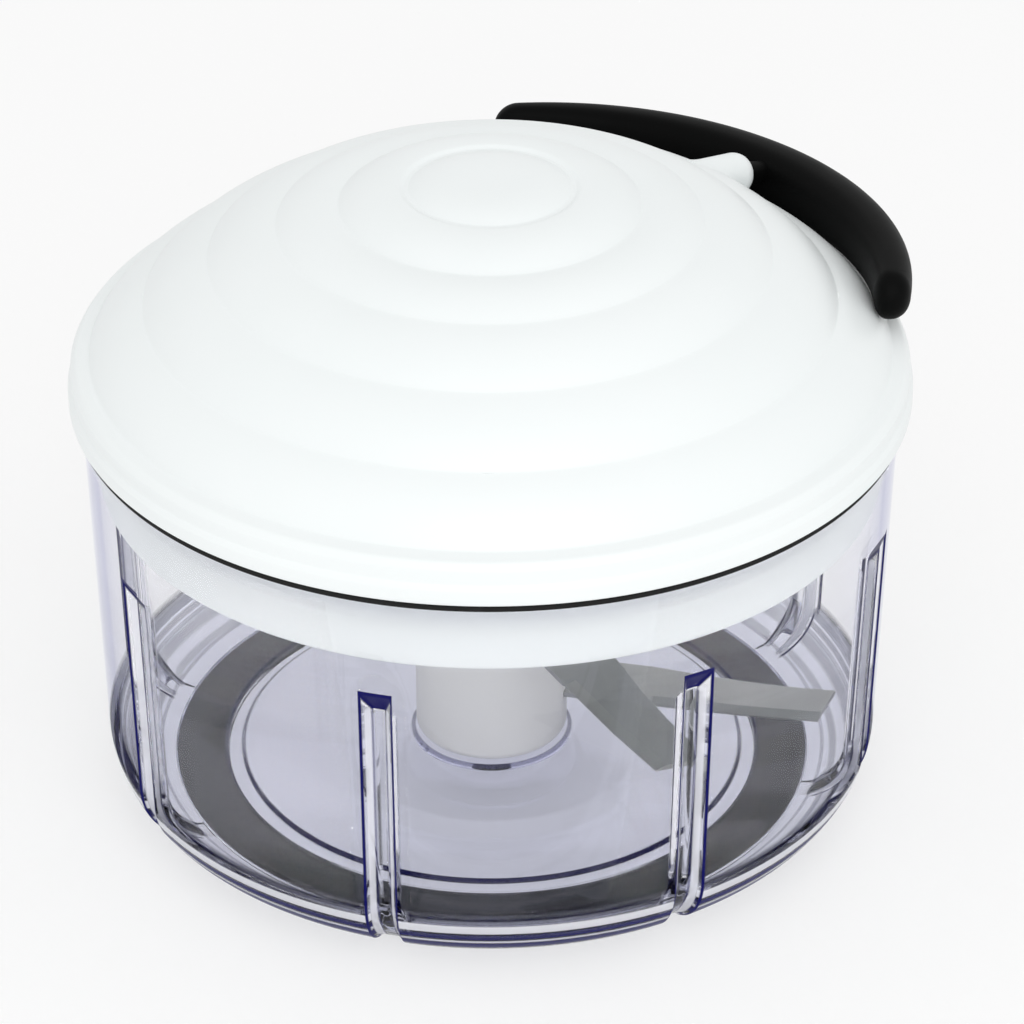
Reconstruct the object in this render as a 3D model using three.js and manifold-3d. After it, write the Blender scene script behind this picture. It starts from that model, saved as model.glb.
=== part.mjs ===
// Pull-cord food chopper: a clear fluted bowl with a stack of three blades, and a white domed lid
// that holds a cord pulley, its recoil spring and a black grip at the end of the cord.
// Lengths are millimetres, +Z is up, and z = 0 is the surface that the anti-slip ring stands on.
// The camera of the reference view looks along +Y, with +X to its right.
import * as THREE from "three";
import { mergeVertices } from "three/addons/utils/BufferGeometryUtils.js";
import Module from "manifold-3d";

const wasm = await Module();
wasm.setup();

// Driving dimensions

const MERGE = 1e-4; // vertices closer than this are one
const GAP = 0.3; // between pieces that touch
const RUNNING = 0.25; // radial clearance of a turning or sliding fit
const OVERRUN = 4; // how far a cutting tool passes the face that it cuts
const ROUND = 40; // sides of the large turned shapes
const SMALL_ROUND = 20; // sides of the small turned shapes
const TAU = 2 * Math.PI;
const degrees = THREE.MathUtils.degToRad;

const bowl = {
  rimRadius: 77.7,
  taper: 2.2,
  cornerRadius: 14.8,
  height: 82.7,
  wall: 1.9,
  floor: 3,
  rimEdge: 0.4,
  arcSteps: 5,
};
const ring = { beyondFlat: 1.9, width: 9.8, thickness: 2, proud: 0.8 };
bowl.under = ring.proud;
bowl.floorTop = bowl.under + bowl.floor;
bowl.rim = bowl.under + bowl.height;
bowl.cornerTop = bowl.under + bowl.cornerRadius;
bowl.footRadius = bowl.rimRadius - bowl.taper;
bowl.flatRadius = bowl.footRadius - bowl.cornerRadius;
ring.outer = bowl.flatRadius + ring.beyondFlat;
ring.inner = ring.outer - ring.width;

// The shallow ring that frames the middle of the floor
const floorGroove = { insideRing: 0.4, width: 3.4, depth: 0.6, slope: 0.7 };
floorGroove.outer = ring.inner - floorGroove.insideRing;
floorGroove.inner = floorGroove.outer - floorGroove.width;

// The raised seat of the blade hub, and the pin in it
const seat = { radius: 15.2, height: 4.4, edge: 0.6, floorLeft: 2.1 };
const pin = { radius: 2.5, length: 21, tip: 1.2 };
seat.top = bowl.floorTop + seat.height;
pin.hole = bowl.under + seat.floorLeft;
pin.bottom = pin.hole + GAP;
pin.top = pin.bottom + pin.length;

// The lid's base: a plate that stands on the rim, and a skirt that goes down inside the bowl
const plate = { thickness: 2.2, aboveRim: 2.2 };
plate.radius = bowl.rimRadius + GAP;
plate.bottom = bowl.rim + plate.aboveRim;
plate.top = plate.bottom + plate.thickness;
const skirt = { play: 0.5, depth: 16.5, wall: 1.9, edge: 0.4 };
skirt.topRadius = bowl.rimRadius - bowl.wall - skirt.play;
skirt.bottom = plate.bottom - skirt.depth;
const seal = { inset: 0.25, edge: 0.3 };
seal.outer = plate.radius - seal.inset;

// Flutes pressed into the wall from outside, evenly spaced round the bowl
const flute = {
  count: 8,
  firstAzimuth: -105.5,
  mouth: 6,
  back: 2.2,
  depth: 2.7,
  belowSkirt: 5.2,
  roofDrop: 4.5,
  footAngle: 72,
  footDepth: 0.3,
  ribWall: 1.7,
  ribSide: 1.4,
  skin: 0.6,
  footSteps: 4,
};
flute.top = skirt.bottom - flute.belowSkirt;

// The turning parts on the lid's axis. Screws have a head radius and height, a shank radius and a length.
const topScrew = { head: 3.4, headHeight: 1.8, shank: 1.3, length: 9 };
const washer = { radius: 7, thickness: 0.8 };
const spindle = {
  radius: 6,
  flange: 8.4,
  flangeThickness: 2,
  driveFlats: 10,
  driveLength: 12,
  driveTip: 1,
  keyFlats: 8,
  screwRoom: 2,
};
const bearing = { wall: 2.8, length: 10.5 };
bearing.bore = spindle.radius + RUNNING;
bearing.outer = bearing.bore + bearing.wall;
bearing.bottom = plate.bottom - bearing.length;
spindle.flangeTop = bearing.bottom - GAP;
spindle.flangeBottom = spindle.flangeTop - spindle.flangeThickness;
spindle.bottom = spindle.flangeBottom - spindle.driveLength;
const spring = {
  thickness: 0.5,
  width: 6,
  pitch: 1.9,
  stepsPerTurn: 14,
  outer: 24,
  above: 0.6,
};
const cup = { wall: 1.8, lugRadius: 2.8, lugOut: 1.7, lugs: 3, lugAzimuth: 100 };
const coverScrew = { head: 2, headHeight: 1.2, shank: 0.9, length: 5 };
cup.inner = spring.outer + spring.thickness;
cup.outer = cup.inner + cup.wall;
cup.top = plate.top + spring.width + 2 * spring.above;
cup.lugPlace = cup.outer + cup.lugOut;
const cover = { thickness: 1.5 };
cover.bottom = cup.top + GAP;
cover.top = cover.bottom + cover.thickness;

const cord = { radius: 1, pitch: 2.5, turns: 4.7, stepsPerTurn: 24, sides: 6, tail: 10 };
const pulley = { core: 17.6, flange: 24, flangeThickness: 1.6, cordRoom: 1.25, keyPlay: 0.3 };
pulley.channel = cord.turns * cord.pitch + 2 * cord.radius + pulley.cordRoom;
pulley.bottom = cover.top + 2 * GAP;
pulley.channelBottom = pulley.bottom + pulley.flangeThickness;
pulley.channelTop = pulley.channelBottom + pulley.channel;
pulley.flangeBottom = pulley.channelTop + GAP;
pulley.top = pulley.flangeBottom + pulley.flangeThickness;
cord.windingRadius = pulley.core + GAP + cord.radius;
cord.lowest = pulley.channelBottom + cord.radius + 2 * GAP;
spindle.shoulder = pulley.bottom - GAP;
spindle.top = pulley.top - GAP;

// The turning hub: it stands on the seat, and reaches up to just under the spindle's flange
const hub = {
  footEdge: 1.8,
  neckInset: 2.5,
  neckHeight: 38,
  shoulder: 2,
  headroom: 1.9,
  topEdge: 0.8,
  socketPlay: 2.9,
};
hub.radius = seat.radius - GAP;
hub.neckRadius = hub.radius - hub.neckInset;
hub.bottom = seat.top + GAP;
hub.top = spindle.flangeBottom - hub.headroom;
hub.height = hub.top - hub.bottom;

const blade = {
  thickness: 1,
  wallClearance: 4.1,
  bevel: 2.2,
  bevelLeft: 0.25,
  slotPlay: 0.25,
  tangStart: 4.2,
};
blade.tipRadius = bowl.footRadius - flute.depth - flute.ribWall - blade.wallClearance;
// Each blade's azimuth, and its height as a share of the hub's
const bladeStack = [
  { name: "blade_upper", azimuth: -62, heightShare: 0.44 },
  { name: "blade_middle", azimuth: 143, heightShare: 0.288 },
  { name: "blade_lower", azimuth: -12, heightShare: 0.144 },
];
// Outline of one blade as shares of its tip radius: first number outwards, second towards its back
const bladeTangShare = [0.012, 0.145];
const bladeOutlineShare = [
  [0.2, -0.02],
  [0.47, -0.021],
  [0.475, -0.016],
  [0.75, -0.012],
  [0.972, 0.002],
  [1, 0.157],
  [0.9, 0.15],
  [0.78, 0.149],
  [0.62, 0.156],
  [0.45, 0.172],
  [0.2, 0.174],
];

// The rim round the dome's foot, whose own steps are insets and rises from its foot
const rim = {
  wall: 1.7,
  beadInset: 1.6,
  beadRise: 8.3,
  lineInset: 0.6,
  lineRise: 6.9,
  waistInset: 0.7,
  waistRise: 4.2,
  ledgeRise: 3.5,
  edge: 0.5,
};
rim.bottom = plate.bottom;
rim.inner = plate.radius + GAP;
rim.radius = rim.inner + rim.wall;

// The dome: a turned cover of five rounded steps round a raised disc
const dome = {
  rise: 43.5,
  wall: 2.2,
  discRadius: 14.5,
  discEdge: 1.6,
  grooveWidth: 1.7,
  grooveDepth: 0.5,
  bulge: 1.15,
  bandSteps: 3,
  innerIn: 1.2,
};
dome.top = rim.bottom + dome.rise;
// The disc's rounded edge, as shares of its radius and of the edge's depth
const discShares = [
  [0.55, 0.1],
  [0.83, 0.4],
  [0.93, 0.65],
  [1, 1],
];
// The creases between the steps from the middle outwards, as shares of the rim's radius and the dome's rise
const creaseShares = [
  [0.2112, 0.9655],
  [0.3538, 0.8782],
  [0.5, 0.7954],
  [0.6612, 0.6414],
  [0.8162, 0.4322],
  [0.9475, 0.2046],
];
const creases = creaseShares.map(([out, up]) => [rim.radius * out, rim.bottom + dome.rise * up]);
const [nozzleCrease, lastCrease] = creases.slice(-2);

// The nozzle that the cord leaves by, and the wear bush in it. It lies in the upright plane at its
// azimuth, tips down, and its mouth stands out from the crease before the last.
const bush = { radius: 2.6, cordPlay: 0.7, flareLength: 3, collar: 0.9 };
bush.bore = cord.radius + bush.cordPlay;
bush.flare = bush.radius - GAP;
const nozzle = {
  azimuth: 45,
  tilt: 17,
  out: 4.1,
  lift: 0.5,
  radius: 4.6,
  backRadius: 3.6,
  backLength: 16,
  edge: 1.2,
  sleeveWall: 1.5,
  sleeveLength: 11.3,
  boreBeyond: 10,
};
nozzle.reach = nozzleCrease[0] + nozzle.out;
nozzle.height = nozzleCrease[1] + nozzle.lift;
nozzle.bore = bush.radius + GAP;
nozzle.sleeveRadius = nozzle.bore + nozzle.sleeveWall;

// The grip: a curved bar whose centre line is an arc in a level plane. Half sizes of its section go
// outwards, inwards, up and down. Its middle hangs below the nozzle's mouth, and its ends less so.
const gripMiddle = { out: 7.2, back: 4.9, up: 6.6, down: 5.6, below: 4.7 };
const gripEnd = { out: 4.2, back: 3.3, up: 5, down: 5, below: 3 };
const grip = {
  mouthGap: 4.9,
  endInset: 0.2,
  halfAngle: 48,
  endLength: 5,
  steps: 14,
  endSteps: 3,
  sides: 16,
  cordPlay: 0.5,
  stopWall: 0.8,
};
const knot = { radius: 2.3, pastMiddle: 3.4, play: 0.4 };
grip.middleReach = nozzle.reach + grip.mouthGap + gripMiddle.back;
grip.endReach = lastCrease[0] - grip.endInset;
grip.arcRadius = arcRadiusThrough(grip.middleReach, grip.endReach, degrees(grip.halfAngle));
grip.arcOffset = grip.middleReach - grip.arcRadius;
grip.cordHole = cord.radius + grip.cordPlay;
// The round stop round the cord hole, which meets the nozzle's mouth when the cord is wound in
grip.stopRadius = grip.cordHole + grip.stopWall;
knot.from = grip.mouthGap + gripMiddle.back + knot.pastMiddle;
const cap = {};
cap.radius = knot.radius + knot.play;
grip.pocket = cap.radius + GAP;
grip.pocketFrom = knot.from - knot.radius - knot.play;

// The screws that hold the dome on the lid's base, in bosses under the dome
const domeScrew = { count: 4, inset: 16.3, head: 3, headHeight: 1.5, shank: 1.3, length: 12, boss: 3.6 };
domeScrew.place = rim.inner - domeScrew.inset;

// Finishes

const finishes = {
  white: { color: 0xf2f3f2, roughness: 0.32, metalness: 0 },
  ivory: { color: 0xe6e6e0, roughness: 0.5, metalness: 0 },
  clear: { color: 0xd6d6ee, roughness: 0.05, metalness: 0, transparent: true, opacity: 0.3 },
  black: { color: 0x1c1c1d, roughness: 0.5, metalness: 0 },
  rubber: { color: 0x0c0c0c, roughness: 0.8, metalness: 0 },
  softGrey: { color: 0x45464a, roughness: 0.85, metalness: 0 },
  steel: { color: 0x9c9e9b, roughness: 0.35, metalness: 1 },
  cord: { color: 0xdedcd2, roughness: 0.9, metalness: 0 },
};

// Solids

/** Makes a manifold-3d solid of a closed geometry, with its faces turned outwards. */
function solidOf(geometry) {
  const loose = geometry.index ? geometry.toNonIndexed() : geometry;
  const bare = new THREE.BufferGeometry();
  bare.setAttribute("position", loose.getAttribute("position"));
  const merged = mergeVertices(bare, MERGE);
  const place = merged.getAttribute("position");
  const triVerts = [];
  const [a, b, c] = [new THREE.Vector3(), new THREE.Vector3(), new THREE.Vector3()];
  let volume = 0;
  for (let i = 0; i < merged.index.count; i += 3) {
    const corners = [0, 1, 2].map((k) => merged.index.getX(i + k));
    if (new Set(corners).size < corners.length) continue;
    triVerts.push(...corners);
    [a, b, c].forEach((v, k) => v.fromBufferAttribute(place, corners[k]));
    volume += a.dot(b.cross(c));
  }
  if (volume < 0) triVerts.reverse();
  return new wasm.Manifold(
    new wasm.Mesh({
      numProp: 3,
      vertProperties: new Float32Array(place.array),
      triVerts: new Uint32Array(triVerts),
    }),
  );
}

/** Turns a manifold-3d solid back into a geometry. */
function geometryOf(solid) {
  const made = solid.getMesh();
  const geometry = new THREE.BufferGeometry();
  geometry.setAttribute("position", new THREE.BufferAttribute(made.vertProperties, made.numProp));
  geometry.setIndex(new THREE.BufferAttribute(made.triVerts, 1));
  const flat = geometry.toNonIndexed();
  flat.computeVertexNormals();
  return flat;
}

/** Turns a profile of [radius, height] points round the Z axis. */
function turned(profile, sides = SMALL_ROUND) {
  const points = profile.map(([r, z]) => new THREE.Vector2(r, z));
  return solidOf(new THREE.LatheGeometry(points, sides).rotateX(Math.PI / 2));
}

/** A plain upright cylinder between two heights. */
function post(radius, low, high, sides = SMALL_ROUND) {
  return turned([[0, low], [radius, low], [radius, high], [0, high]], sides);
}

/** A six-sided bar of a given width across its flats. */
function hexBar(flats, low, high) {
  return post(flats / 2 / Math.cos(Math.PI / 6), low, high, 6);
}

/** A closed ring profile: it ends where it starts. */
function ringProfile(points) {
  return [...points, points[0]];
}

/** An outline of [x, y] points raised between two heights. */
function slab(outline, low, high) {
  const shape = new THREE.Shape(outline.map(([x, y]) => new THREE.Vector2(x, y)));
  const made = new THREE.ExtrudeGeometry(shape, { depth: high - low, bevelEnabled: false });
  return solidOf(made.translate(0, 0, low));
}

/** A round bar along a curve, square at both ends. */
function bar(curve, radius, steps, sides) {
  const corners = Array.from({ length: sides }, (_, i) => {
    const turn = (i * TAU) / sides;
    return new THREE.Vector2(radius * Math.cos(turn), radius * Math.sin(turn));
  });
  return solidOf(
    new THREE.ExtrudeGeometry(new THREE.Shape(corners), { extrudePath: curve, steps, bevelEnabled: false }),
  );
}

/** A skin through rings of as many points each, with its two ends closed. */
function lofted(rings) {
  const count = rings[0].length;
  const middle = (points) =>
    points.reduce((sum, p) => sum.add(p), new THREE.Vector3()).divideScalar(points.length);
  const points = [...rings.flat(), middle(rings[0]), middle(rings.at(-1))];
  const index = [];
  rings.slice(1).forEach((_, k) => {
    for (let i = 0; i < count; i++) {
      const next = (i + 1) % count;
      const [p, q] = [k * count + i, k * count + next];
      index.push(p, q, q + count, p, q + count, p + count);
    }
  });
  const last = (rings.length - 1) * count;
  for (let i = 0; i < count; i++) {
    const next = (i + 1) % count;
    index.push(points.length - 2, next, i, points.length - 1, last + i, last + next);
  }
  return solidOf(new THREE.BufferGeometry().setFromPoints(points).setIndex(index));
}

/** A copy of a solid, turned round Z by degrees. */
function atAzimuth(solid, azimuth) {
  return solid.rotate([0, 0, azimuth]);
}

/** Points of a quarter of an ellipse round a centre, between two angles in degrees. */
function arc([centreR, centreZ], [halfR, halfZ], from, to, steps) {
  return Array.from({ length: steps + 1 }, (_, i) => {
    const angle = degrees(from + ((to - from) * i) / steps);
    return [centreR + halfR * Math.cos(angle), centreZ + halfZ * Math.sin(angle)];
  });
}

/** Even azimuths in degrees, starting at one. */
function azimuths(count, first = 0) {
  return Array.from({ length: count }, (_, i) => first + (360 * i) / count);
}

/** Joins solids into one. */
function joined(solids) {
  return solids.reduce((whole, solid) => whole.add(solid));
}

// Scene graph

const chopper = new THREE.Group();
chopper.name = "pull_cord_chopper";

/** Adds a solid to the chopper as one named mesh. */
function addPiece(name, solid, finish) {
  const mesh = new THREE.Mesh(geometryOf(solid), new THREE.MeshStandardMaterial(finishes[finish]));
  mesh.name = name;
  chopper.add(mesh);
}

// Bowl

/** Radius of the bowl's outside at a height on its straight wall. */
function wallRadius(z) {
  const rise = (z - bowl.cornerTop) / (bowl.rim - bowl.cornerTop);
  return bowl.footRadius + (bowl.rimRadius - bowl.footRadius) * rise;
}

/** A channel that runs down the wall and round its corner, between two depths below the surface. */
function wallChannel({ top, drop, start, depth, footDepth, outerHalf, innerHalf }) {
  const centre = [bowl.flatRadius, bowl.cornerTop];
  const section = (outerPoint, innerPoint) => [
    new THREE.Vector3(outerPoint[0], -outerHalf, outerPoint[1]),
    new THREE.Vector3(outerPoint[0], outerHalf, outerPoint[1]),
    new THREE.Vector3(innerPoint[0], innerHalf, innerPoint[1]),
    new THREE.Vector3(innerPoint[0], -innerHalf, innerPoint[1]),
  ];
  const wall = (z, lower) => section([wallRadius(z) - start, z], [wallRadius(z) - depth, z - lower]);
  const sections = [wall(top, drop), wall(top - 2 * drop, 0)];
  for (let i = 0; i <= flute.footSteps; i++) {
    const share = i / flute.footSteps;
    const angle = degrees(-flute.footAngle * share);
    const deep = depth + (footDepth - depth) * share ** 2;
    const at = (inwards) => [
      centre[0] + (bowl.cornerRadius - inwards) * Math.cos(angle),
      centre[1] + (bowl.cornerRadius - inwards) * Math.sin(angle),
    ];
    sections.push(section(at(start), at(deep)));
  }
  return lofted(sections);
}

function makeBowl() {
  const { under, floorTop, cornerTop, flatRadius, cornerRadius, rimRadius, rim: top, wall, rimEdge } = bowl;
  const recess = ring.thickness + GAP;
  const recessOuter = ring.outer + GAP;
  const lipAngle = (Math.acos((recessOuter - flatRadius) / cornerRadius) * 360) / TAU;
  const shell = turned(
    [
      [0, under],
      [ring.inner - GAP, under],
      [ring.inner - GAP, recess],
      [recessOuter, recess],
      ...arc([flatRadius, cornerTop], [cornerRadius, cornerRadius], -lipAngle, 0, bowl.arcSteps),
      [rimRadius, top - rimEdge],
      [rimRadius - rimEdge, top],
      [rimRadius - wall + rimEdge, top],
      [rimRadius - wall, top - rimEdge],
      ...arc([flatRadius, cornerTop], [cornerRadius - wall, cornerTop - floorTop], 0, -90, bowl.arcSteps),
      [floorGroove.outer + floorGroove.slope, floorTop],
      [floorGroove.outer, floorTop - floorGroove.depth],
      [floorGroove.inner + floorGroove.slope, floorTop - floorGroove.depth],
      [floorGroove.inner, floorTop],
      [seat.radius, floorTop],
      [seat.radius, seat.top - seat.edge],
      [seat.radius - seat.edge, seat.top],
      [pin.radius + RUNNING, seat.top],
      [pin.radius + RUNNING, pin.hole],
      [0, pin.hole],
    ],
    ROUND,
  );
  const rib = wallChannel({
    top: flute.top + flute.ribWall,
    drop: flute.roofDrop,
    start: flute.skin,
    depth: flute.depth + flute.ribWall,
    footDepth: flute.footDepth + flute.ribWall,
    outerHalf: flute.mouth / 2 + flute.ribSide + flute.ribWall,
    innerHalf: flute.back / 2 + flute.ribSide,
  });
  const groove = wallChannel({
    top: flute.top,
    drop: flute.roofDrop,
    start: -flute.skin,
    depth: flute.depth,
    footDepth: flute.footDepth,
    outerHalf: flute.mouth / 2,
    innerHalf: flute.back / 2,
  });
  const places = azimuths(flute.count, flute.firstAzimuth);
  const ribbed = joined([shell, ...places.map((azimuth) => atAzimuth(rib, azimuth))]);
  return ribbed.subtract(joined(places.map((azimuth) => atAzimuth(groove, azimuth))));
}

addPiece("bowl", makeBowl(), "clear");

addPiece(
  "anti_slip_ring",
  turned(
    ringProfile([
      [ring.inner + GAP, 0],
      [ring.outer - GAP, 0],
      [ring.outer, GAP],
      [ring.outer, ring.thickness],
      [ring.inner, ring.thickness],
      [ring.inner, GAP],
    ]),
    ROUND,
  ),
  "softGrey",
);

addPiece(
  "blade_pivot_pin",
  turned([
    [0, pin.bottom],
    [pin.radius, pin.bottom],
    [pin.radius, pin.top - pin.tip],
    [pin.radius / 2, pin.top],
    [0, pin.top],
  ]),
  "steel",
);

// Blade unit

/** Height of the middle of a blade, from its share of the hub's height. */
function bladeHeight(share) {
  return hub.bottom + share * hub.height;
}

/** One blade, lying along +X with its cutting edge towards -Y. */
function makeBlade(height) {
  const scaled = bladeOutlineShare.map(([x, y]) => [x * blade.tipRadius, y * blade.tipRadius]);
  const [low, high] = bladeTangShare.map((share) => share * blade.tipRadius);
  const root = scaled[0][0];
  const outline = [[blade.tangStart, low], [root, low], ...scaled, [root, high], [blade.tangStart, high]];
  const bottom = height - blade.thickness / 2;
  const top = height + blade.thickness / 2;
  const plain = slab(outline, bottom, top);
  const [heel, tip] = [scaled[2], scaled[4]];
  const along = new THREE.Vector2(tip[0] - heel[0], tip[1] - heel[1]);
  const length = along.length();
  const wedge = slab(
    [
      [-blade.bevel, bottom + blade.bevelLeft - blade.thickness],
      [blade.bevel, top],
      [blade.bevel, top + OVERRUN],
      [-blade.bevel, top + OVERRUN],
    ],
    0,
    length + OVERRUN,
  );
  // The wedge was drawn across the blade and raised along it, so it is laid down and turned in line.
  const laid = wedge.rotate([90, 0, 0]).rotate([0, 0, 90]).rotate([0, 0, (along.angle() * 360) / TAU]);
  return plain.subtract(laid.translate([heel[0], heel[1], 0]));
}

/** The slot that a blade's tang sits in. */
function bladeSlot(height) {
  const { slotPlay, thickness, tangStart, tipRadius } = blade;
  const sides = bladeOutlineShare.map((point) => point[1] * tipRadius);
  const [left, right] = [Math.min(...sides) - slotPlay, Math.max(...sides) + slotPlay];
  const [near, far] = [tangStart - slotPlay, hub.radius + OVERRUN];
  return slab(
    [[near, left], [far, left], [far, right], [near, right]],
    height - thickness / 2 - slotPlay,
    height + thickness / 2 + slotPlay,
  );
}

function makeHub() {
  const neck = hub.bottom + hub.neckHeight;
  const outside = turned([
    [0, hub.bottom],
    ...arc([hub.radius - hub.footEdge, hub.bottom + hub.footEdge], [hub.footEdge, hub.footEdge], -90, 0, 4),
    [hub.radius, neck - hub.shoulder],
    [hub.neckRadius, neck],
    [hub.neckRadius, hub.top - hub.topEdge],
    [hub.neckRadius - hub.topEdge, hub.top],
    [0, hub.top],
  ], 2 * SMALL_ROUND);
  const bore = post(pin.radius + RUNNING, hub.bottom - OVERRUN, pin.top + GAP);
  const socket = hexBar(spindle.driveFlats + 2 * GAP, spindle.bottom - hub.socketPlay, hub.top + OVERRUN);
  const slots = bladeStack.map(({ azimuth, heightShare }) => {
    return atAzimuth(bladeSlot(bladeHeight(heightShare)), azimuth);
  });
  return outside.subtract(joined([bore, socket, ...slots]));
}

addPiece("blade_hub", makeHub(), "white");
bladeStack.forEach(({ name, azimuth, heightShare }) => {
  addPiece(name, atAzimuth(makeBlade(bladeHeight(heightShare)), azimuth), "steel");
});

// Lid base, with the bearing and the spring cup

const lugPlaces = azimuths(cup.lugs, cup.lugAzimuth);
const domeScrewPlaces = azimuths(domeScrew.count);

/** A solid made on the axis, moved out by a distance at an azimuth. */
function movedOut(solid, distance, azimuth) {
  return atAzimuth(solid.translate([distance, 0, 0]), azimuth);
}

function makeLidBase() {
  const outerBottom = wallRadius(skirt.bottom) - bowl.wall - skirt.play;
  const innerTop = skirt.topRadius - skirt.wall;
  const innerBottom = outerBottom - skirt.wall;
  const base = turned(
    ringProfile([
      [bearing.bore, bearing.bottom],
      [bearing.outer, bearing.bottom],
      [bearing.outer, plate.bottom],
      [innerTop, plate.bottom],
      [innerBottom, skirt.bottom + skirt.edge],
      [innerBottom + skirt.edge, skirt.bottom],
      [outerBottom - skirt.edge, skirt.bottom],
      [outerBottom, skirt.bottom + skirt.edge],
      [skirt.topRadius, plate.bottom],
      [plate.radius, plate.bottom],
      [plate.radius, plate.top],
      [cup.outer, plate.top],
      [cup.outer, cup.top],
      [cup.inner, cup.top],
      [cup.inner, plate.top],
      [bearing.bore, plate.top],
    ]),
    ROUND,
  );
  const lug = post(cup.lugRadius, plate.bottom + GAP, cup.top);
  const lugs = lugPlaces.map((azimuth) => movedOut(lug, cup.lugPlace, azimuth));
  const lugHole = post(coverScrew.shank + GAP, cup.top - coverScrew.length, cup.top + OVERRUN, 12);
  const lugHoles = lugPlaces.map((azimuth) => movedOut(lugHole, cup.lugPlace, azimuth));
  const hole = post(domeScrew.shank + GAP, plate.bottom - OVERRUN, plate.top + OVERRUN, 12);
  const holes = domeScrewPlaces.map((azimuth) => movedOut(hole, domeScrew.place, azimuth));
  return joined([base, ...lugs]).subtract(joined([...lugHoles, ...holes]));
}

addPiece("lid_base", makeLidBase(), "white");

addPiece(
  "lid_seal",
  turned(
    ringProfile([
      [skirt.topRadius + GAP, bowl.rim + GAP],
      [seal.outer - seal.edge, bowl.rim + GAP],
      [seal.outer, bowl.rim + GAP + seal.edge],
      [seal.outer, plate.bottom - GAP],
      [skirt.topRadius + GAP, plate.bottom - GAP],
    ]),
    ROUND,
  ),
  "rubber",
);

// Dome cover

/** The cover's outside from its middle to its foot, as [radius, height] points. */
function domeOutside() {
  const [first] = creases;
  const grooveFloor = first[1] - dome.grooveDepth;
  const points = [
    [0, dome.top],
    ...discShares.map(([out, down]) => [dome.discRadius * out, dome.top - dome.discEdge * down]),
    [first[0] - dome.grooveWidth, grooveFloor],
    [first[0] - dome.grooveWidth / 2, grooveFloor],
    first,
  ];
  creases.slice(1).forEach((end, i) => {
    const start = creases[i];
    const chord = new THREE.Vector2(end[0] - start[0], end[1] - start[1]);
    const outwards = new THREE.Vector2(-chord.y, chord.x).normalize();
    for (let k = 1; k <= dome.bandSteps; k++) {
      const share = k / dome.bandSteps;
      const bulge = dome.bulge * 4 * share * (1 - share);
      points.push([
        start[0] + chord.x * share + outwards.x * bulge,
        start[1] + chord.y * share + outwards.y * bulge,
      ]);
    }
  });
  points.push(
    [rim.radius - rim.beadInset, rim.bottom + rim.beadRise],
    [rim.radius - rim.lineInset, rim.bottom + rim.lineRise],
    [rim.radius - rim.waistInset, rim.bottom + rim.waistRise],
    [rim.radius - rim.edge / 2, rim.bottom + rim.ledgeRise],
    [rim.radius, rim.bottom + rim.ledgeRise - rim.edge],
    [rim.radius, rim.bottom + rim.edge],
    [rim.radius - rim.edge, rim.bottom],
  );
  return points;
}

/** The cover's inside from its foot to its middle. */
function domeInside() {
  const inner = creases.map(([r, z]) => [r - dome.innerIn, z - dome.wall]).reverse();
  return [
    [rim.inner, rim.bottom],
    [rim.inner, plate.top + GAP],
    [rim.inner - dome.wall / 2, plate.top + GAP],
    [rim.inner - dome.wall / 2, rim.bottom + rim.waistRise],
    ...inner,
    [dome.discRadius - dome.wall, dome.top - dome.wall],
    [0, dome.top - dome.wall],
  ];
}

/** Lays a solid made along +Z from z = 0 on the nozzle's axis, where z = 0 is the nozzle's mouth. */
function onNozzle(solid) {
  return solid
    .rotate([0, 90 + nozzle.tilt, 0])
    .translate([nozzle.reach, 0, nozzle.height])
    .rotate([0, 0, nozzle.azimuth]);
}

function makeDome() {
  const outside = domeOutside();
  const inside = domeInside();
  const shell = turned([...outside, ...inside], ROUND);
  const cavity = turned([[0, rim.bottom], ...inside], ROUND);
  const filled = turned([...outside, [0, rim.bottom]], ROUND);
  const fairing = onNozzle(
    turned([
      [0, -nozzle.backLength],
      [nozzle.backRadius, -nozzle.backLength],
      [nozzle.radius, -nozzle.edge],
      [nozzle.radius - nozzle.edge, 0],
      [0, 0],
    ]),
  );
  const sleeve = onNozzle(post(nozzle.sleeveRadius, -nozzle.sleeveLength, -nozzle.edge));
  const boss = post(domeScrew.boss, plate.top + GAP, dome.top);
  const bosses = domeScrewPlaces.map((azimuth) => movedOut(boss, domeScrew.place, azimuth).intersect(filled));
  const pilot = post(domeScrew.shank + GAP, plate.bottom, plate.top + domeScrew.length, 12);
  const pilots = domeScrewPlaces.map((azimuth) => movedOut(pilot, domeScrew.place, azimuth));
  const bore = onNozzle(post(nozzle.bore, -nozzle.backLength - nozzle.boreBeyond, OVERRUN));
  return joined([shell, fairing.subtract(cavity), sleeve, ...bosses]).subtract(joined([bore, ...pilots]));
}

addPiece("dome_cover", makeDome(), "white");

addPiece(
  "cord_guide_bush",
  onNozzle(
    turned(
      ringProfile([
        [bush.bore, 0],
        [bush.radius, 0],
        [bush.radius, -nozzle.sleeveLength],
        [bush.radius, -nozzle.sleeveLength - bush.collar],
        [bush.flare, -nozzle.sleeveLength - bush.collar],
        [bush.bore, -nozzle.sleeveLength + bush.flareLength],
      ]),
    ),
  ),
  "ivory",
);

/** A pan-head screw whose head stands on z = 0 and whose shank goes up. */
function screw({ head, headHeight, shank, length }) {
  return turned([
    [0, -headHeight],
    [head - headHeight / 2, -headHeight],
    [head, 0],
    [shank, 0],
    [shank, length - shank],
    [0, length],
  ], 12);
}

const domeScrewUp = screw(domeScrew).translate([0, 0, plate.bottom - GAP]);
domeScrewPlaces.forEach((azimuth, i) => {
  addPiece("dome_screw_" + (i + 1), movedOut(domeScrewUp, domeScrew.place, azimuth), "steel");
});

// Spindle, recoil spring and pulley

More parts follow.
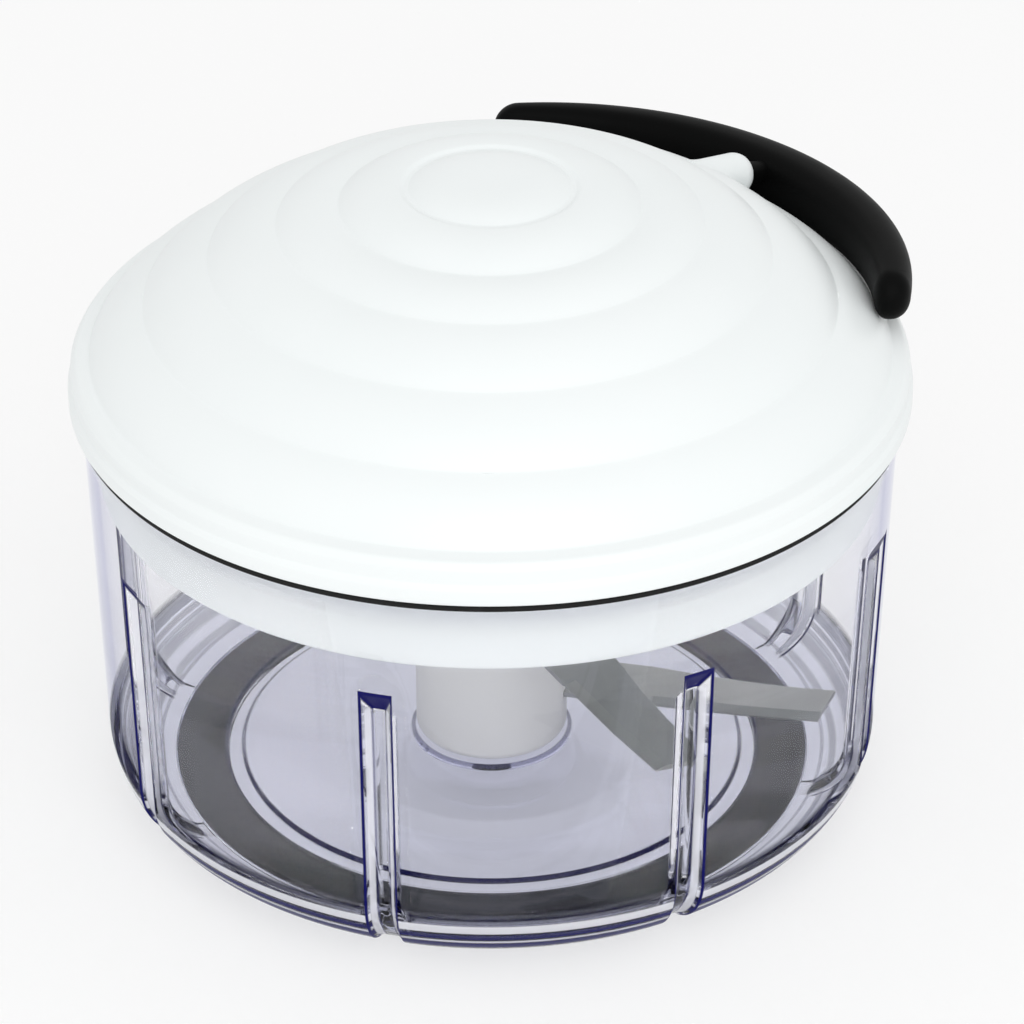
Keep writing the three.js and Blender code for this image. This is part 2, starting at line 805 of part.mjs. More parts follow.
function makeSpindle() {
  const { bottom, flangeBottom, flangeTop, flange, radius, shoulder, top, driveTip } = spindle;
  const body = turned([
    [0, flangeBottom],
    [flange, flangeBottom],
    [flange, flangeTop],
    [radius, flangeTop],
    [radius, shoulder],
    [0, shoulder],
  ]);
  const halfDrive = spindle.driveFlats / 2 / Math.cos(Math.PI / 6);
  const drive = turned([
    [0, bottom],
    [halfDrive - driveTip, bottom],
    [halfDrive, bottom + driveTip],
    [halfDrive, flangeBottom + driveTip],
    [0, flangeBottom + driveTip],
  ], 6);
  const key = hexBar(spindle.keyFlats, shoulder - driveTip, top);
  const hole = post(topScrew.shank + GAP, top - topScrew.length - spindle.screwRoom, top + OVERRUN, 12);
  return joined([body, drive, key]).subtract(hole);
}

addPiece("drive_spindle", makeSpindle(), "ivory");

/** The flat spiral of the recoil spring, from the spindle to the cup. */
function makeSpring() {
  const start = bearing.bore + GAP + spring.thickness;
  const turns = (spring.outer - spring.thickness / 2 - start) / spring.pitch;
  const steps = Math.round(turns * spring.stepsPerTurn);
  const edge = (half) =>
    Array.from({ length: steps + 1 }, (_, i) => {
      const turn = (i / steps) * turns;
      const radius = start + spring.pitch * turn + half;
      return [radius * Math.cos(turn * TAU), radius * Math.sin(turn * TAU)];
    });
  const outline = [...edge(spring.thickness / 2), ...edge(-spring.thickness / 2).reverse()];
  return slab(outline, plate.top + spring.above, plate.top + spring.above + spring.width);
}

addPiece("recoil_spring", makeSpring(), "steel");

function makeCover() {
  const disc = turned(
    ringProfile([
      [bearing.bore, cover.bottom],
      [cup.outer, cover.bottom],
      [cup.outer, cover.top],
      [bearing.bore, cover.top],
    ]),
    2 * SMALL_ROUND,
  );
  const ear = post(cup.lugRadius, cover.bottom, cover.top);
  const hole = post(coverScrew.shank + GAP, cover.bottom - OVERRUN, cover.top + OVERRUN, 12);
  const ears = lugPlaces.map((azimuth) => movedOut(ear, cup.lugPlace, azimuth));
  const holes = lugPlaces.map((azimuth) => movedOut(hole, cup.lugPlace, azimuth));
  return joined([disc, ...ears]).subtract(joined(holes));
}

addPiece("spring_cover", makeCover(), "ivory");
const coverScrewDown = screw(coverScrew).rotate([180, 0, 0]).translate([0, 0, cover.top + GAP]);
lugPlaces.forEach((azimuth, i) => {
  const placed = movedOut(coverScrewDown, cup.lugPlace, azimuth);
  addPiece("spring_cover_screw_" + (i + 1), placed, "steel");
});

const keyway = hexBar(spindle.keyFlats + 2 * pulley.keyPlay, pulley.bottom - OVERRUN, pulley.top + OVERRUN);
addPiece(
  "cord_pulley",
  turned(
    [
      [0, pulley.bottom],
      [pulley.flange, pulley.bottom],
      [pulley.flange, pulley.channelBottom],
      [pulley.core, pulley.channelBottom],
      [pulley.core, pulley.channelTop],
      [0, pulley.channelTop],
    ],
    2 * SMALL_ROUND,
  ).subtract(keyway),
  "ivory",
);
addPiece(
  "pulley_flange",
  post(pulley.flange, pulley.flangeBottom, pulley.top, 2 * SMALL_ROUND).subtract(keyway),
  "ivory",
);
addPiece(
  "retaining_washer",
  turned(
    ringProfile([
      [topScrew.shank + GAP, pulley.top + GAP],
      [washer.radius, pulley.top + GAP],
      [washer.radius, pulley.top + GAP + washer.thickness],
      [topScrew.shank + GAP, pulley.top + GAP + washer.thickness],
    ]),
  ),
  "steel",
);
addPiece(
  "retaining_screw",
  screw(topScrew)
    .rotate([180, 0, 0])
    .translate([0, 0, pulley.top + washer.thickness + 2 * GAP]),
  "steel",
);

// Cord: wound on the pulley, led to the nozzle, and knotted in the grip

const upright = new THREE.Vector3(0, 0, 1);
const nozzleOut = new THREE.Vector3(Math.cos(degrees(nozzle.tilt)), 0, -Math.sin(degrees(nozzle.tilt)));
nozzleOut.applyAxisAngle(upright, degrees(nozzle.azimuth));
const nozzleMouth = new THREE.Vector3(nozzle.reach, 0, nozzle.height);
nozzleMouth.applyAxisAngle(upright, degrees(nozzle.azimuth));

/** The point on the nozzle's axis at a distance out of its mouth. */
function alongNozzle(distance) {
  return nozzleMouth.clone().addScaledVector(nozzleOut, distance);
}

const guideMouth = alongNozzle(-nozzle.sleeveLength);
const guideReach = Math.hypot(guideMouth.x, guideMouth.y);
const leaveAzimuth = degrees(nozzle.azimuth) + Math.acos(cord.windingRadius / guideReach);
const leavePoint = new THREE.Vector3(
  cord.windingRadius * Math.cos(leaveAzimuth),
  cord.windingRadius * Math.sin(leaveAzimuth),
  cord.lowest,
);
const leaveDirection = new THREE.Vector3(Math.sin(leaveAzimuth), -Math.cos(leaveAzimuth), 0);
const tailEnd = leavePoint.clone().addScaledVector(leaveDirection, cord.tail);

/** The winding: a helix that comes down to the leaving point, and then a straight tail. */
class WindingCurve extends THREE.Curve {
  constructor() {
    super();
    this.wound = cord.turns * TAU * cord.windingRadius;
    this.length = this.wound + cord.tail;
  }

  getPoint(share, target = new THREE.Vector3()) {
    const run = share * this.length;
    if (run >= this.wound) {
      return target.copy(leavePoint).addScaledVector(leaveDirection, run - this.wound);
    }
    const left = 1 - run / this.wound;
    const turn = leaveAzimuth + left * cord.turns * TAU;
    return target.set(
      cord.windingRadius * Math.cos(turn),
      cord.windingRadius * Math.sin(turn),
      cord.lowest + left * cord.turns * cord.pitch,
    );
  }
}

const winding = new WindingCurve();
const windingSteps = Math.round(cord.turns * cord.stepsPerTurn) + 2;

/** The least gap between two turns of the winding, measured on points of its middle line. */
function leastWindingGap() {
  const points = winding.getSpacedPoints(windingSteps);
  let least = Infinity;
  points.forEach((point, i) => {
    points.slice(i + cord.stepsPerTurn / 2).forEach((other) => {
      least = Math.min(least, point.distanceTo(other));
    });
  });
  return least - 2 * cord.radius;
}

console.log("wound_cord keeps " + leastWindingGap().toFixed(2) + " mm between its turns");
addPiece("wound_cord", bar(winding, cord.radius, windingSteps, cord.sides), "cord");

const runStart = tailEnd.clone().addScaledVector(leaveDirection, GAP);
const runRoute = new THREE.CatmullRomCurve3(
  [
    runStart,
    runStart.clone().addScaledVector(leaveDirection, cord.tail / 2),
    runStart.clone().lerp(guideMouth, 0.6),
    alongNozzle(-nozzle.sleeveLength + bush.flareLength / 2),
    alongNozzle(-nozzle.sleeveLength / 2),
    alongNozzle(0),
  ],
  false,
  "centripetal",
);
addPiece("cord_run", bar(runRoute, cord.radius, 20, 8), "cord");

const cordEnd = bar(new THREE.LineCurve3(alongNozzle(GAP), alongNozzle(knot.from)), cord.radius, 1, 8);
const knotBall = solidOf(new THREE.SphereGeometry(knot.radius, 12, 8));
addPiece(
  "pull_cord_end",
  cordEnd.add(knotBall.translate(alongNozzle(knot.from).toArray())),
  "cord",
);

// Grip

/**
 * Radius of the arc that passes one distance from the lid's axis in its middle, and another at its ends,
 * which stand at an angle either side of the middle. Its centre lies between the axis and its middle.
 */
function arcRadiusThrough(middleReach, endReach, angle) {
  const fall = (2 * (middleReach ** 2 - endReach ** 2)) / (1 - Math.cos(angle));
  return (middleReach + Math.sqrt(middleReach ** 2 - fall)) / 2;
}

/** One ring of the grip's skin at an azimuth round the arc's centre. */
function gripRing(angle, middleShare, size) {
  const value = (key) => gripEnd[key] + (gripMiddle[key] - gripEnd[key]) * middleShare;
  const [out, back, up, down] = ["out", "back", "up", "down"].map((key) => value(key) * size);
  return Array.from({ length: grip.sides }, (_, i) => {
    const turn = (i * TAU) / grip.sides;
    const across = Math.cos(turn) * (Math.cos(turn) > 0 ? out : back);
    const above = Math.sin(turn) * (Math.sin(turn) > 0 ? up : down);
    const reach = grip.arcRadius + across;
    return new THREE.Vector3(
      grip.arcOffset + reach * Math.cos(angle),
      reach * Math.sin(angle),
      nozzle.height - value("below") + above,
    );
  });
}

function gripBody() {
  const half = degrees(grip.halfAngle);
  const endAngle = grip.endLength / grip.arcRadius;
  const rings = [];
  for (let i = grip.endSteps; i >= 1; i--) {
    const turn = (i * Math.PI) / (2 * grip.endSteps + 1);
    rings.push(gripRing(-half - endAngle * Math.sin(turn), 0, Math.cos(turn)));
  }
  for (let i = 0; i <= grip.steps; i++) {
    const share = (2 * i) / grip.steps - 1;
    rings.push(gripRing(share * half, 1 - share * share, 1));
  }
  for (let i = 1; i <= grip.endSteps; i++) {
    const turn = (i * Math.PI) / (2 * grip.endSteps + 1);
    rings.push(gripRing(half + endAngle * Math.sin(turn), 0, Math.cos(turn)));
  }
  return atAzimuth(lofted(rings), nozzle.azimuth);
}

const gripWhole = gripBody();
const gripStop = onNozzle(post(grip.stopRadius, GAP, grip.mouthGap + gripMiddle.back));
const gripReach = grip.arcOffset + grip.arcRadius + gripMiddle.out + OVERRUN - nozzle.reach;
const cordHole = onNozzle(post(grip.cordHole, -OVERRUN, grip.pocketFrom + OVERRUN, 16));
const pocket = onNozzle(post(grip.pocket, grip.pocketFrom, gripReach + OVERRUN));
addPiece("handle_grip", gripWhole.add(gripStop).subtract(cordHole.add(pocket)), "black");

const capStart = knot.from + knot.radius + GAP;
const capRod = onNozzle(post(cap.radius, capStart, gripReach + OVERRUN));
addPiece("knot_cap", gripWhole.intersect(capRod), "black");

export default chopper;
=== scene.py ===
"""Dresses the pull-cord food chopper: clear fluted bowl, blade stack, domed lid, cord and grip.

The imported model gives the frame: its bodies, its nodes and their places. Each class below builds one
sub-assembly round it, in millimetres, and hands its pieces to the body that carries them.
"""

from __future__ import annotations

import logging
import math
from dataclasses import dataclass
from enum import Enum
from typing import Callable, NamedTuple, Sequence

import bmesh
import bpy
import numpy as np
from mathutils import Matrix, Vector


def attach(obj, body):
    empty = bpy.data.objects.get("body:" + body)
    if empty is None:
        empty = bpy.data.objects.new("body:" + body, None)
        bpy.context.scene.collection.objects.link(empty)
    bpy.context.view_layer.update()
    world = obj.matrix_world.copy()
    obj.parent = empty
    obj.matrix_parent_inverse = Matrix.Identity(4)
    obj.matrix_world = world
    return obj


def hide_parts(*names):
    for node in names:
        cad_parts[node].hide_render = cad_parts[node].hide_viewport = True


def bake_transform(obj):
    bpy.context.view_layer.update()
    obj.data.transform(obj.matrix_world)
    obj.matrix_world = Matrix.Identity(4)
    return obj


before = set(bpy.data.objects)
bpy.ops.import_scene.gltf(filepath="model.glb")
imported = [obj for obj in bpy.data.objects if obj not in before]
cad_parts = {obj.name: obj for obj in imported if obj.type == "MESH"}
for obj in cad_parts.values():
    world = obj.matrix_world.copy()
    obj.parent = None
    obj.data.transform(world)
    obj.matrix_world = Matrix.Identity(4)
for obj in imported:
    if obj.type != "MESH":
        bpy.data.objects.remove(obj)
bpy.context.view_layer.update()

MM = 0.001
TAU = 2 * math.pi
SHARP = math.radians(32)
WELD = 1e-7
FILLET_SHARE = 0.48

log = logging.getLogger("chopper")

Colour = tuple[float, float, float]
Point = tuple[float, float]
Band = tuple[float, float, float]
Object = bpy.types.Object
Material = bpy.types.Material
Socket = bpy.types.NodeSocket


class Body(Enum):
    """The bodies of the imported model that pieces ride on."""

    BOWL = "bowl"
    BLADES = "blade_unit"
    LID = "lid"
    PULLEY = "pulley"
    HANDLE = "handle"


class Slot(Enum):
    """The material slots of the record."""

    CLEAR = "clear_bowl"
    SOFT_GREY = "soft_grey_rubber"
    STEEL = "steel"
    BLADE = "blade_steel"
    WHITE = "white_plastic"
    IVORY = "ivory_plastic"
    RUBBER = "black_rubber"
    BLACK = "black_plastic"
    CORD = "cord"


# Node graphs


class Value:
    """A number on its way through a node tree. Operators on it add Math nodes."""

    def __init__(self, graph: "Graph", socket: Socket) -> None:
        """Wraps a socket.

        Args:
            graph: the graph that new nodes go to.
            socket: the output that carries the number.
        """
        self.graph = graph
        self.socket = socket


def operator(operation: str, reflected: bool) -> Callable[[Value, "Number"], Value]:
    """Makes the method behind an operator of Value.

    Args:
        operation: the Math node's operation.
        reflected: whether the Value stands to the right of the operator.

    Returns:
        The method.
    """

    def add_node(value: Value, other: "Number") -> Value:
        """Adds the Math node."""
        first, second = (other, value) if reflected else (value, other)
        return value.graph.math(operation, first, second)

    return add_node


OPERATORS = {"add": "ADD", "sub": "SUBTRACT", "mul": "MULTIPLY", "truediv": "DIVIDE", "pow": "POWER"}
for sign, math_operation in OPERATORS.items():
    setattr(Value, f"__{sign}__", operator(math_operation, reflected=False))
    setattr(Value, f"__r{sign}__", operator(math_operation, reflected=True))

Number = Value | float


class Graph:
    """A node tree that is written as expressions."""

    def __init__(self, tree: bpy.types.NodeTree) -> None:
        """Starts from an empty tree.

        Args:
            tree: the tree, whose nodes are cleared.
        """
        self.tree = tree
        tree.nodes.clear()

    def node(self, kind: str, settings: dict | None = None, sockets: dict | None = None) -> bpy.types.Node:
        """Adds a node.

        Args:
            kind: the node's type.
            settings: its properties, set first.
            sockets: input name or number to a value, a socket, or a Value.

        Returns:
            The node.
        """
        made = self.tree.nodes.new(kind)
        for name, value in (settings or {}).items():
            setattr(made, name, value)
        for key, value in (sockets or {}).items():
            self.feed(made.inputs[key], value)
        return made

    def feed(self, target: Socket, value: object) -> None:
        """Links or sets one input.

        Args:
            target: the input socket.
            value: a Value, an output socket, or a constant.
        """
        if isinstance(value, Value):
            value = value.socket
        if isinstance(value, Socket):
            self.tree.links.new(value, target)
        else:
            target.default_value = value

    def math(self, operation: str, *values: Number) -> Value:
        """Adds a Math node.

        Args:
            operation: the node's operation.
            values: its inputs in order.

        Returns:
            The result.
        """
        made = self.node("ShaderNodeMath", {"operation": operation}, dict(enumerate(values)))
        return Value(self, made.outputs[0])


class Shader(Graph):
    """A material's tree, with the few patterns that the finishes share."""

    CORE = 0.35

    def __init__(self, name: str) -> None:
        """Makes an empty material.

        Args:
            name: the material's name.
        """
        self.material = bpy.data.materials.new(name)
        self.material.use_nodes = True
        super().__init__(self.material.node_tree)
        self.place = self.node("ShaderNodeTexCoord").outputs["Object"]

    def noise(self, size: float, detail: float = 2.0, place: object = None) -> Value:
        """Cloudy noise.

        Args:
            size: the width of a cloud in millimetres.
            detail: octaves of finer clouds.
            place: coordinates to read, or None for the object's own.

        Returns:
            A value from 0 to 1.
        """
        sockets = {"Vector": place or self.place, "Scale": 1 / (size * MM), "Detail": detail}
        made = self.node("ShaderNodeTexNoise", {"noise_dimensions": "3D"}, sockets)
        return Value(self, made.outputs[0])

    def stretched(self, scale: Sequence[float], turn: float = 0.0) -> Socket:
        """The object's coordinates, turned round Z and then scaled along each axis.

        Args:
            scale: the factor along each axis.
            turn: the turn in radians.

        Returns:
            The new coordinates.
        """
        turned = self.node("ShaderNodeMapping", {}, {"Vector": self.place, "Rotation": (0.0, 0.0, turn)})
        sockets = {"Vector": turned.outputs[0], "Scale": tuple(scale)}
        return self.node("ShaderNodeMapping", {}, sockets).outputs[0]

    def split(self, place: Socket | None = None) -> tuple[Value, Value, Value]:
        """The three numbers of a vector, or of the object's coordinates in metres."""
        made = self.node("ShaderNodeSeparateXYZ", {}, {0: place or self.place})
        return tuple(Value(self, socket) for socket in made.outputs)

    def stored(self, name: str, output: str) -> Value:
        """What a piece stores under a name at each of its points."""
        return Value(self, self.node("ShaderNodeAttribute", {"attribute_name": name}).outputs[output])

    def between(self, value: Number, low: float, high: float) -> Value:
        """How far a number has come from one value to another, eased.

        Args:
            value: the number.
            low: where the result is 0.
            high: where it is 1.

        Returns:
            A value from 0 to 1.
        """
        settings = {"interpolation_type": "SMOOTHSTEP", "clamp": True}
        made = self.node("ShaderNodeMapRange", settings, {0: value, 1: low, 2: high})
        return Value(self, made.outputs[0])

    def line(self, value: Number, middle: float | Value, half: float) -> Value:
        """A soft line round one value.

        Args:
            value: the number.
            middle: the value that the line runs along.
            half: half the line's width.

        Returns:
            1 in the line's core, and 0 from half its width outwards.
        """
        away = self.math("ABSOLUTE", value - middle)
        return 1 - self.between(away, self.CORE * half, half)

    def band(self, value: Number, low: float, high: float, soft: float) -> Value:
        """A soft band between two values.

        Args:
            value: the number.
            low: where the full band starts.
            high: where it ends.
            soft: how far its ends fade outwards.

        Returns:
            1 in the band, and 0 past its faded ends.
        """
        return self.between(value, low - soft, low) * (1 - self.between(value, high, high + soft))

    def most(self, first: Value, *others: Value) -> Value:
        """The largest of several numbers."""
        for other in others:
            first = self.math("MAXIMUM", first, other)
        return first

    def mixed(self, factor: Number, first: object, second: object) -> Socket:
        """Mixes two colours.

        Args:
            factor: 0 for the first, 1 for the second.
            first: a colour or a socket.
            second: a colour or a socket.

        Returns:
            The mixed colour.
        """
        made = self.node("ShaderNodeMix", {"data_type": "RGBA"}, {0: factor})
        for key, colour in ((6, first), (7, second)):
            if isinstance(colour, tuple) and len(colour) == 3:
                colour = (*colour, 1.0)
            self.feed(made.inputs[key], colour)
        return made.outputs[2]

    def bump(self, height: Value, strength: float, distance: float) -> Socket:
        """A bumped normal.

        Args:
            height: the height pattern, from 0 to 1.
            strength: how much of it shows.
            distance: its full height in millimetres.

        Returns:
            The normal.
        """
        sockets = {"Height": height, "Strength": strength, "Distance": distance * MM}
        return self.node("ShaderNodeBump", {}, sockets).outputs[0]

    def surface(self, sockets: dict) -> Material:
        """Ends the tree in one Principled surface.

        Args:
            sockets: the surface's inputs by name.

        Returns:
            The finished material.
        """
        made = self.node("ShaderNodeBsdfPrincipled", {}, sockets)
        self.node("ShaderNodeOutputMaterial", {}, {"Surface": made.outputs[0]})
        return self.material


# Finishes


@dataclass(frozen=True)
class MouldedPlastic:
    """Opaque moulded plastic with a faint orange peel, soft cloudiness and handling haze. Sizes in mm."""

    name: str
    colour: Colour
    shade: Colour
    roughness: float
    refraction: float = 1.5
    peel: float = 1.1
    peel_height: float = 0.012
    peel_share: float = 0.75
    grain: float = 0.16
    grain_height: float = 0.004
    cloud: float = 38.0
    clouded: Point = (0.35, 0.7)
    haze: float = 9.0
    haze_depth: float = 0.12
    hairline: float = 0.5
    hairline_stretch: tuple[float, float, float] = (1.0, 0.05, 0.3)
    hairline_turn: float = 0.7
    hairline_shows: Point = (0.62, 0.75)
    hairline_depth: float = 0.05
    bump: float = 0.6

    def material(self) -> Material:
        """Builds the material."""
        shader = Shader(self.name)
        cloud = shader.noise(self.cloud, 3)
        haze = shader.noise(self.haze, 4)
        grain = shader.noise(self.grain, 1) * (self.grain_height / self.peel_height)
        peel = shader.noise(self.peel, 1) * self.peel_share + grain
        drawn = shader.stretched(self.hairline_stretch, self.hairline_turn)
        hairlines = shader.between(shader.noise(self.hairline, 2, drawn), *self.hairline_shows)
        worn = self.roughness + (haze - 0.5) * self.haze_depth + hairlines * self.hairline_depth
        return shader.surface(
            {
                "Base Color": shader.mixed(shader.between(cloud, *self.clouded), self.shade, self.colour),
                "Roughness": worn,
                "IOR": self.refraction,
                "Normal": shader.bump(peel, self.bump, self.peel_height),
            }
        )


@dataclass(frozen=True)
class ClearPlastic:
    """Clear moulded plastic with a violet cast.

    Its edges carry painted deep blue shade and its steep walls painted white reflection, in opaque layers
    mixed over the clear surface. It reads a number of each point: how much the plastic bends light there.
    """

    name: str
    tint: Colour
    pale: Colour
    # edge is the colour of the painted deep blue shade, gleam the colour of the painted white reflection.
    edge: Colour
    gleam: Colour
    cast: Colour
    density: float
    glint: Colour = (0.15, 0.15, 0.18)
    specular: float = 0.08
    roughness: float = 0.02
    smear: float = 7.0
    smear_shows: Point = (0.55, 0.8)
    smear_depth: float = 0.03
    flow: float = 26.0
    flow_stretch: tuple[float, float, float] = (1.0, 1.0, 0.35)
    flow_bump: float = 0.2
    flow_height: float = 0.1
    # Roughness and specular level of the opaque painted shade and painted reflection layers.
    mark_roughness: float = 0.3
    mark_specular: float = 0.05
    refraction: float = 1.5

    BEND = "light_bend"

    def material(self, painted_shade_and_reflection: Callable[[Shader], tuple[Value, Value]], thick: Point) -> Material:
        """Builds the material.

        Args:
            painted_shade_and_reflection: gives how strong the painted deep blue shade and the painted white
                reflection are at each place, from 0 to 1.
            thick: the heights in millimetres between which the darker lilac of the thick foot and floor fades
                out. It is the plastic's violet tint deepened with painted shade, for the shadowed floor below
                seen through it.

        Returns:
            The material.
        """
        shader = Shader(self.name)
        flow = shader.noise(self.flow, 2, shader.stretched(self.flow_stretch))
        smears = shader.between(shader.noise(self.smear, 3), *self.smear_shows)
        normal = shader.bump(flow, self.flow_bump, self.flow_height)
        # blue is the painted shade, white the painted reflection.
        blue, white = painted_shade_and_reflection(shader)
        # Darker lilac in the thick foot and floor: the plastic's violet tint, deepened as painted shade for
        # the shadowed floor below.
        thin = shader.between(shader.split()[2] / MM, *thick)
        sockets = {
            "Base Color": shader.mixed(thin, self.tint, self.pale),
            "Roughness": self.roughness + smears * self.smear_depth,
            "IOR": self.refraction,
            "Specular Tint": (*self.glint, 1.0),
            "Specular IOR Level": self.specular,
            "Transmission Weight": 1.0,
            "Alpha": shader.stored(self.BEND, "Fac"),
            "Normal": normal,
        }
        made = shader.node("ShaderNodeBsdfPrincipled", {}, sockets)
        # Opaque layers over the clear surface: painted white reflection, then painted deep blue shade.
        for share, colour in ((white, self.gleam), (blue, self.edge)):
            sockets = {
                "Base Color": (*colour, 1.0),
                "Roughness": self.mark_roughness,
                "Specular IOR Level": self.mark_specular,
                "Normal": normal,
            }
            mark = shader.node("ShaderNodeBsdfPrincipled", {}, sockets)
            made = shader.node("ShaderNodeMixShader", {}, {0: share, 1: made.outputs[0], 2: mark.outputs[0]})
        sockets = {"Color": (*self.cast, 1.0), "Density": self.density}
        absorb = shader.node("ShaderNodeVolumeAbsorption", {}, sockets)
        sockets = {"Surface": made.outputs[0], "Volume": absorb.outputs[0]}
        shader.node("ShaderNodeOutputMaterial", {}, sockets)
        return shader.material


@dataclass(frozen=True)
class Rubber:
    """Matt rubber with a fine stipple and paler dust in it. Sizes in mm."""

    name: str
    colour: Colour
    dust: Colour
    dust_size: float = 5.0
    dust_shows: Point = (0.5, 0.8)
    dust_share: float = 0.5
    stipple: float = 0.35
    stipple_height: float = 0.05
    stipple_bump: float = 0.7
    roughness: float = 0.78
    roughness_depth: float = 0.15
    specular: float = 0.25

    def material(self) -> Material:
        """Builds the material."""
        shader = Shader(self.name)
        stipple = shader.noise(self.stipple, 2)
        dusty = shader.between(shader.noise(self.dust_size, 5), *self.dust_shows)
        return shader.surface(
            {
                "Base Color": shader.mixed(dusty * self.dust_share, self.colour, self.dust),
                "Roughness": self.roughness + (stipple - 0.5) * self.roughness_depth,
                "Specular IOR Level": self.specular,
                "Normal": shader.bump(stipple, self.stipple_bump, self.stipple_height),
            }
        )


@dataclass(frozen=True)
class Steel:
    """Bare steel with a ground grain that runs one way, and faint stains. Sizes in mm."""

    name: str
    colour: Colour
    stain: Colour
    stain_size: float = 6.0
    stain_shows: Point = (0.5, 0.8)
    stain_share: float = 0.6
    stain_roughness: float = 0.08
    roughness: float = 0.34
    grain: float = 0.12
    grain_shows: Point = (0.35, 0.75)
    grain_share: float = 0.5
    grain_roughness: float = 0.25
    grain_height: float = 0.012
    stretch: float = 0.03
    turn: float = 0.0
    lighten: float = 1.25

    def material(self) -> Material:
        """Builds the material."""
        shader = Shader(self.name)
        lines = shader.noise(self.grain, 3, shader.stretched((self.stretch, 1.0, 1.0), self.turn))
        stains = shader.between(shader.noise(self.stain_size, 4), *self.stain_shows)
        worn = shader.mixed(stains * self.stain_share, self.colour, self.stain)
        lighter = tuple(min(1.0, self.lighten * part) for part in self.colour)
        ground = shader.between(lines, *self.grain_shows) * self.grain_share
        rough = self.roughness + (lines - 0.5) * self.grain_roughness + stains * self.stain_roughness
        return shader.surface(
            {
                "Base Color": shader.mixed(ground, worn, lighter),
                "Metallic": 1.0,
                "Roughness": rough,
                "Normal": shader.bump(lines, 0.5, self.grain_height),
            }
        )


@dataclass(frozen=True)
class BraidedCord:
    """A braided cord. It reads the angle and length that the sweep stores on the cord."""

    name: str
    colour: Colour
    gap: Colour
    strands: int = 8
    pitch: float = 5.0
    strand_shows: Point = (0.55, 0.95)
    strand_share: float = 0.8
    fibre: float = 0.08
    roughness: float = 0.86
    roughness_depth: float = 0.1
    bump: float = 0.9
    height: float = 0.15

    def material(self) -> Material:
        """Builds the material."""
        shader = Shader(self.name)
        x, y, _ = shader.split(shader.stored(SweptCord.SECTION, "Vector").socket)
        along = shader.stored(SweptCord.ALONG, "Fac")
        angle = shader.math("ARCTAN2", y, x) * (self.strands / 2)
        run = along * (TAU * self.strands / 2 / (self.pitch * MM))
        left = shader.math("ABSOLUTE", shader.math("SINE", (angle + run) * 0.5))
        right = shader.math("ABSOLUTE", shader.math("SINE", (angle - run) * 0.5))
        weave = shader.most(left, right)
        fibres = shader.noise(self.fibre, 2)
        relief = weave * self.strand_share + fibres * (1 - self.strand_share)
        return shader.surface(
            {
                "Base Color": shader.mixed(shader.between(weave, *self.strand_shows), self.gap, self.colour),
                "Roughness": self.roughness + (fibres - 0.5) * self.roughness_depth,
                "Normal": shader.bump(relief, self.bump, self.height),
            }
        )


# Meshes


def least(first: np.ndarray, second: np.ndarray, soft: float) -> np.ndarray:
    """The smaller of two values, rounded where they meet.

    Args:
        first: the first values.
        second: the second values.
        soft: how far from each other the rounding starts.

    Returns:
        The smaller values.
    """
    mixed = np.clip(0.5 + 0.5 * (second - first) / soft, 0, 1)
    return second * (1 - mixed) + first * mixed - soft * mixed * (1 - mixed)


class Corner(NamedTuple):
    """A corner of a turned profile in millimetres, and the radius that rounds it."""

    r: float
    z: float
    fillet: float = 0.0


def rounded(outline: Sequence[Sequence[float]], closed: bool = False, turn: float = 15.0) -> list[Point]:
    """Rounds the corners of a profile.

    Args:
        outline: the corners in order, each as radius, height and, where it is rounded, its fillet.
        closed: whether the last corner joins the first.
        turn: the most degrees that one step of a fillet turns.

    Returns:
        The points of the rounded profile.
    """
    corners = [Corner(*values) for values in outline]
    points: list[Point] = []
    count = len(corners)
    for i, corner in enumerate(corners):
        here = Vector((corner.r, corner.z))
        inside = closed or 0 < i < count - 1
        if corner.fillet <= 0 or not inside:
            points.append((corner.r, corner.z))
            continue
        before = Vector(corners[i - 1][:2]) - here
        after = Vector(corners[(i + 1) % count][:2]) - here
        opening = before.angle(after)
        bend = math.pi - opening
        longest = FILLET_SHARE * min(before.length, after.length)
        reach = min(corner.fillet / math.tan(opening / 2), longest)
        radius = reach * math.tan(opening / 2)
        middle = (before.normalized() + after.normalized()).normalized()
        centre = here + middle * (radius / math.sin(opening / 2))
        start = here + before.normalized() * reach - centre
        end = here + after.normalized() * reach - centre
        steps = max(2, math.ceil(math.degrees(bend) / turn))
        for k in range(steps + 1):
            share = k / steps
            spoke = (start * math.sin((1 - share) * bend) + end * math.sin(share * bend)) / math.sin(bend)
            points.append(tuple(centre + spoke))
    return points


def arc(centre: Point, radii: Point, start: float, end: float, steps: int) -> list[Point]:
    """Points of an ellipse between two angles.

    Args:
        centre: its centre.
        radii: its half sizes.
        start: the first angle in degrees.
        end: the last angle in degrees.
        steps: steps between them.

    Returns:
        The points, both ends among them.
    """
    angles = np.radians(np.linspace(start, end, steps + 1))
    return [(centre[0] + radii[0] * math.cos(a), centre[1] + radii[1] * math.sin(a)) for a in angles]


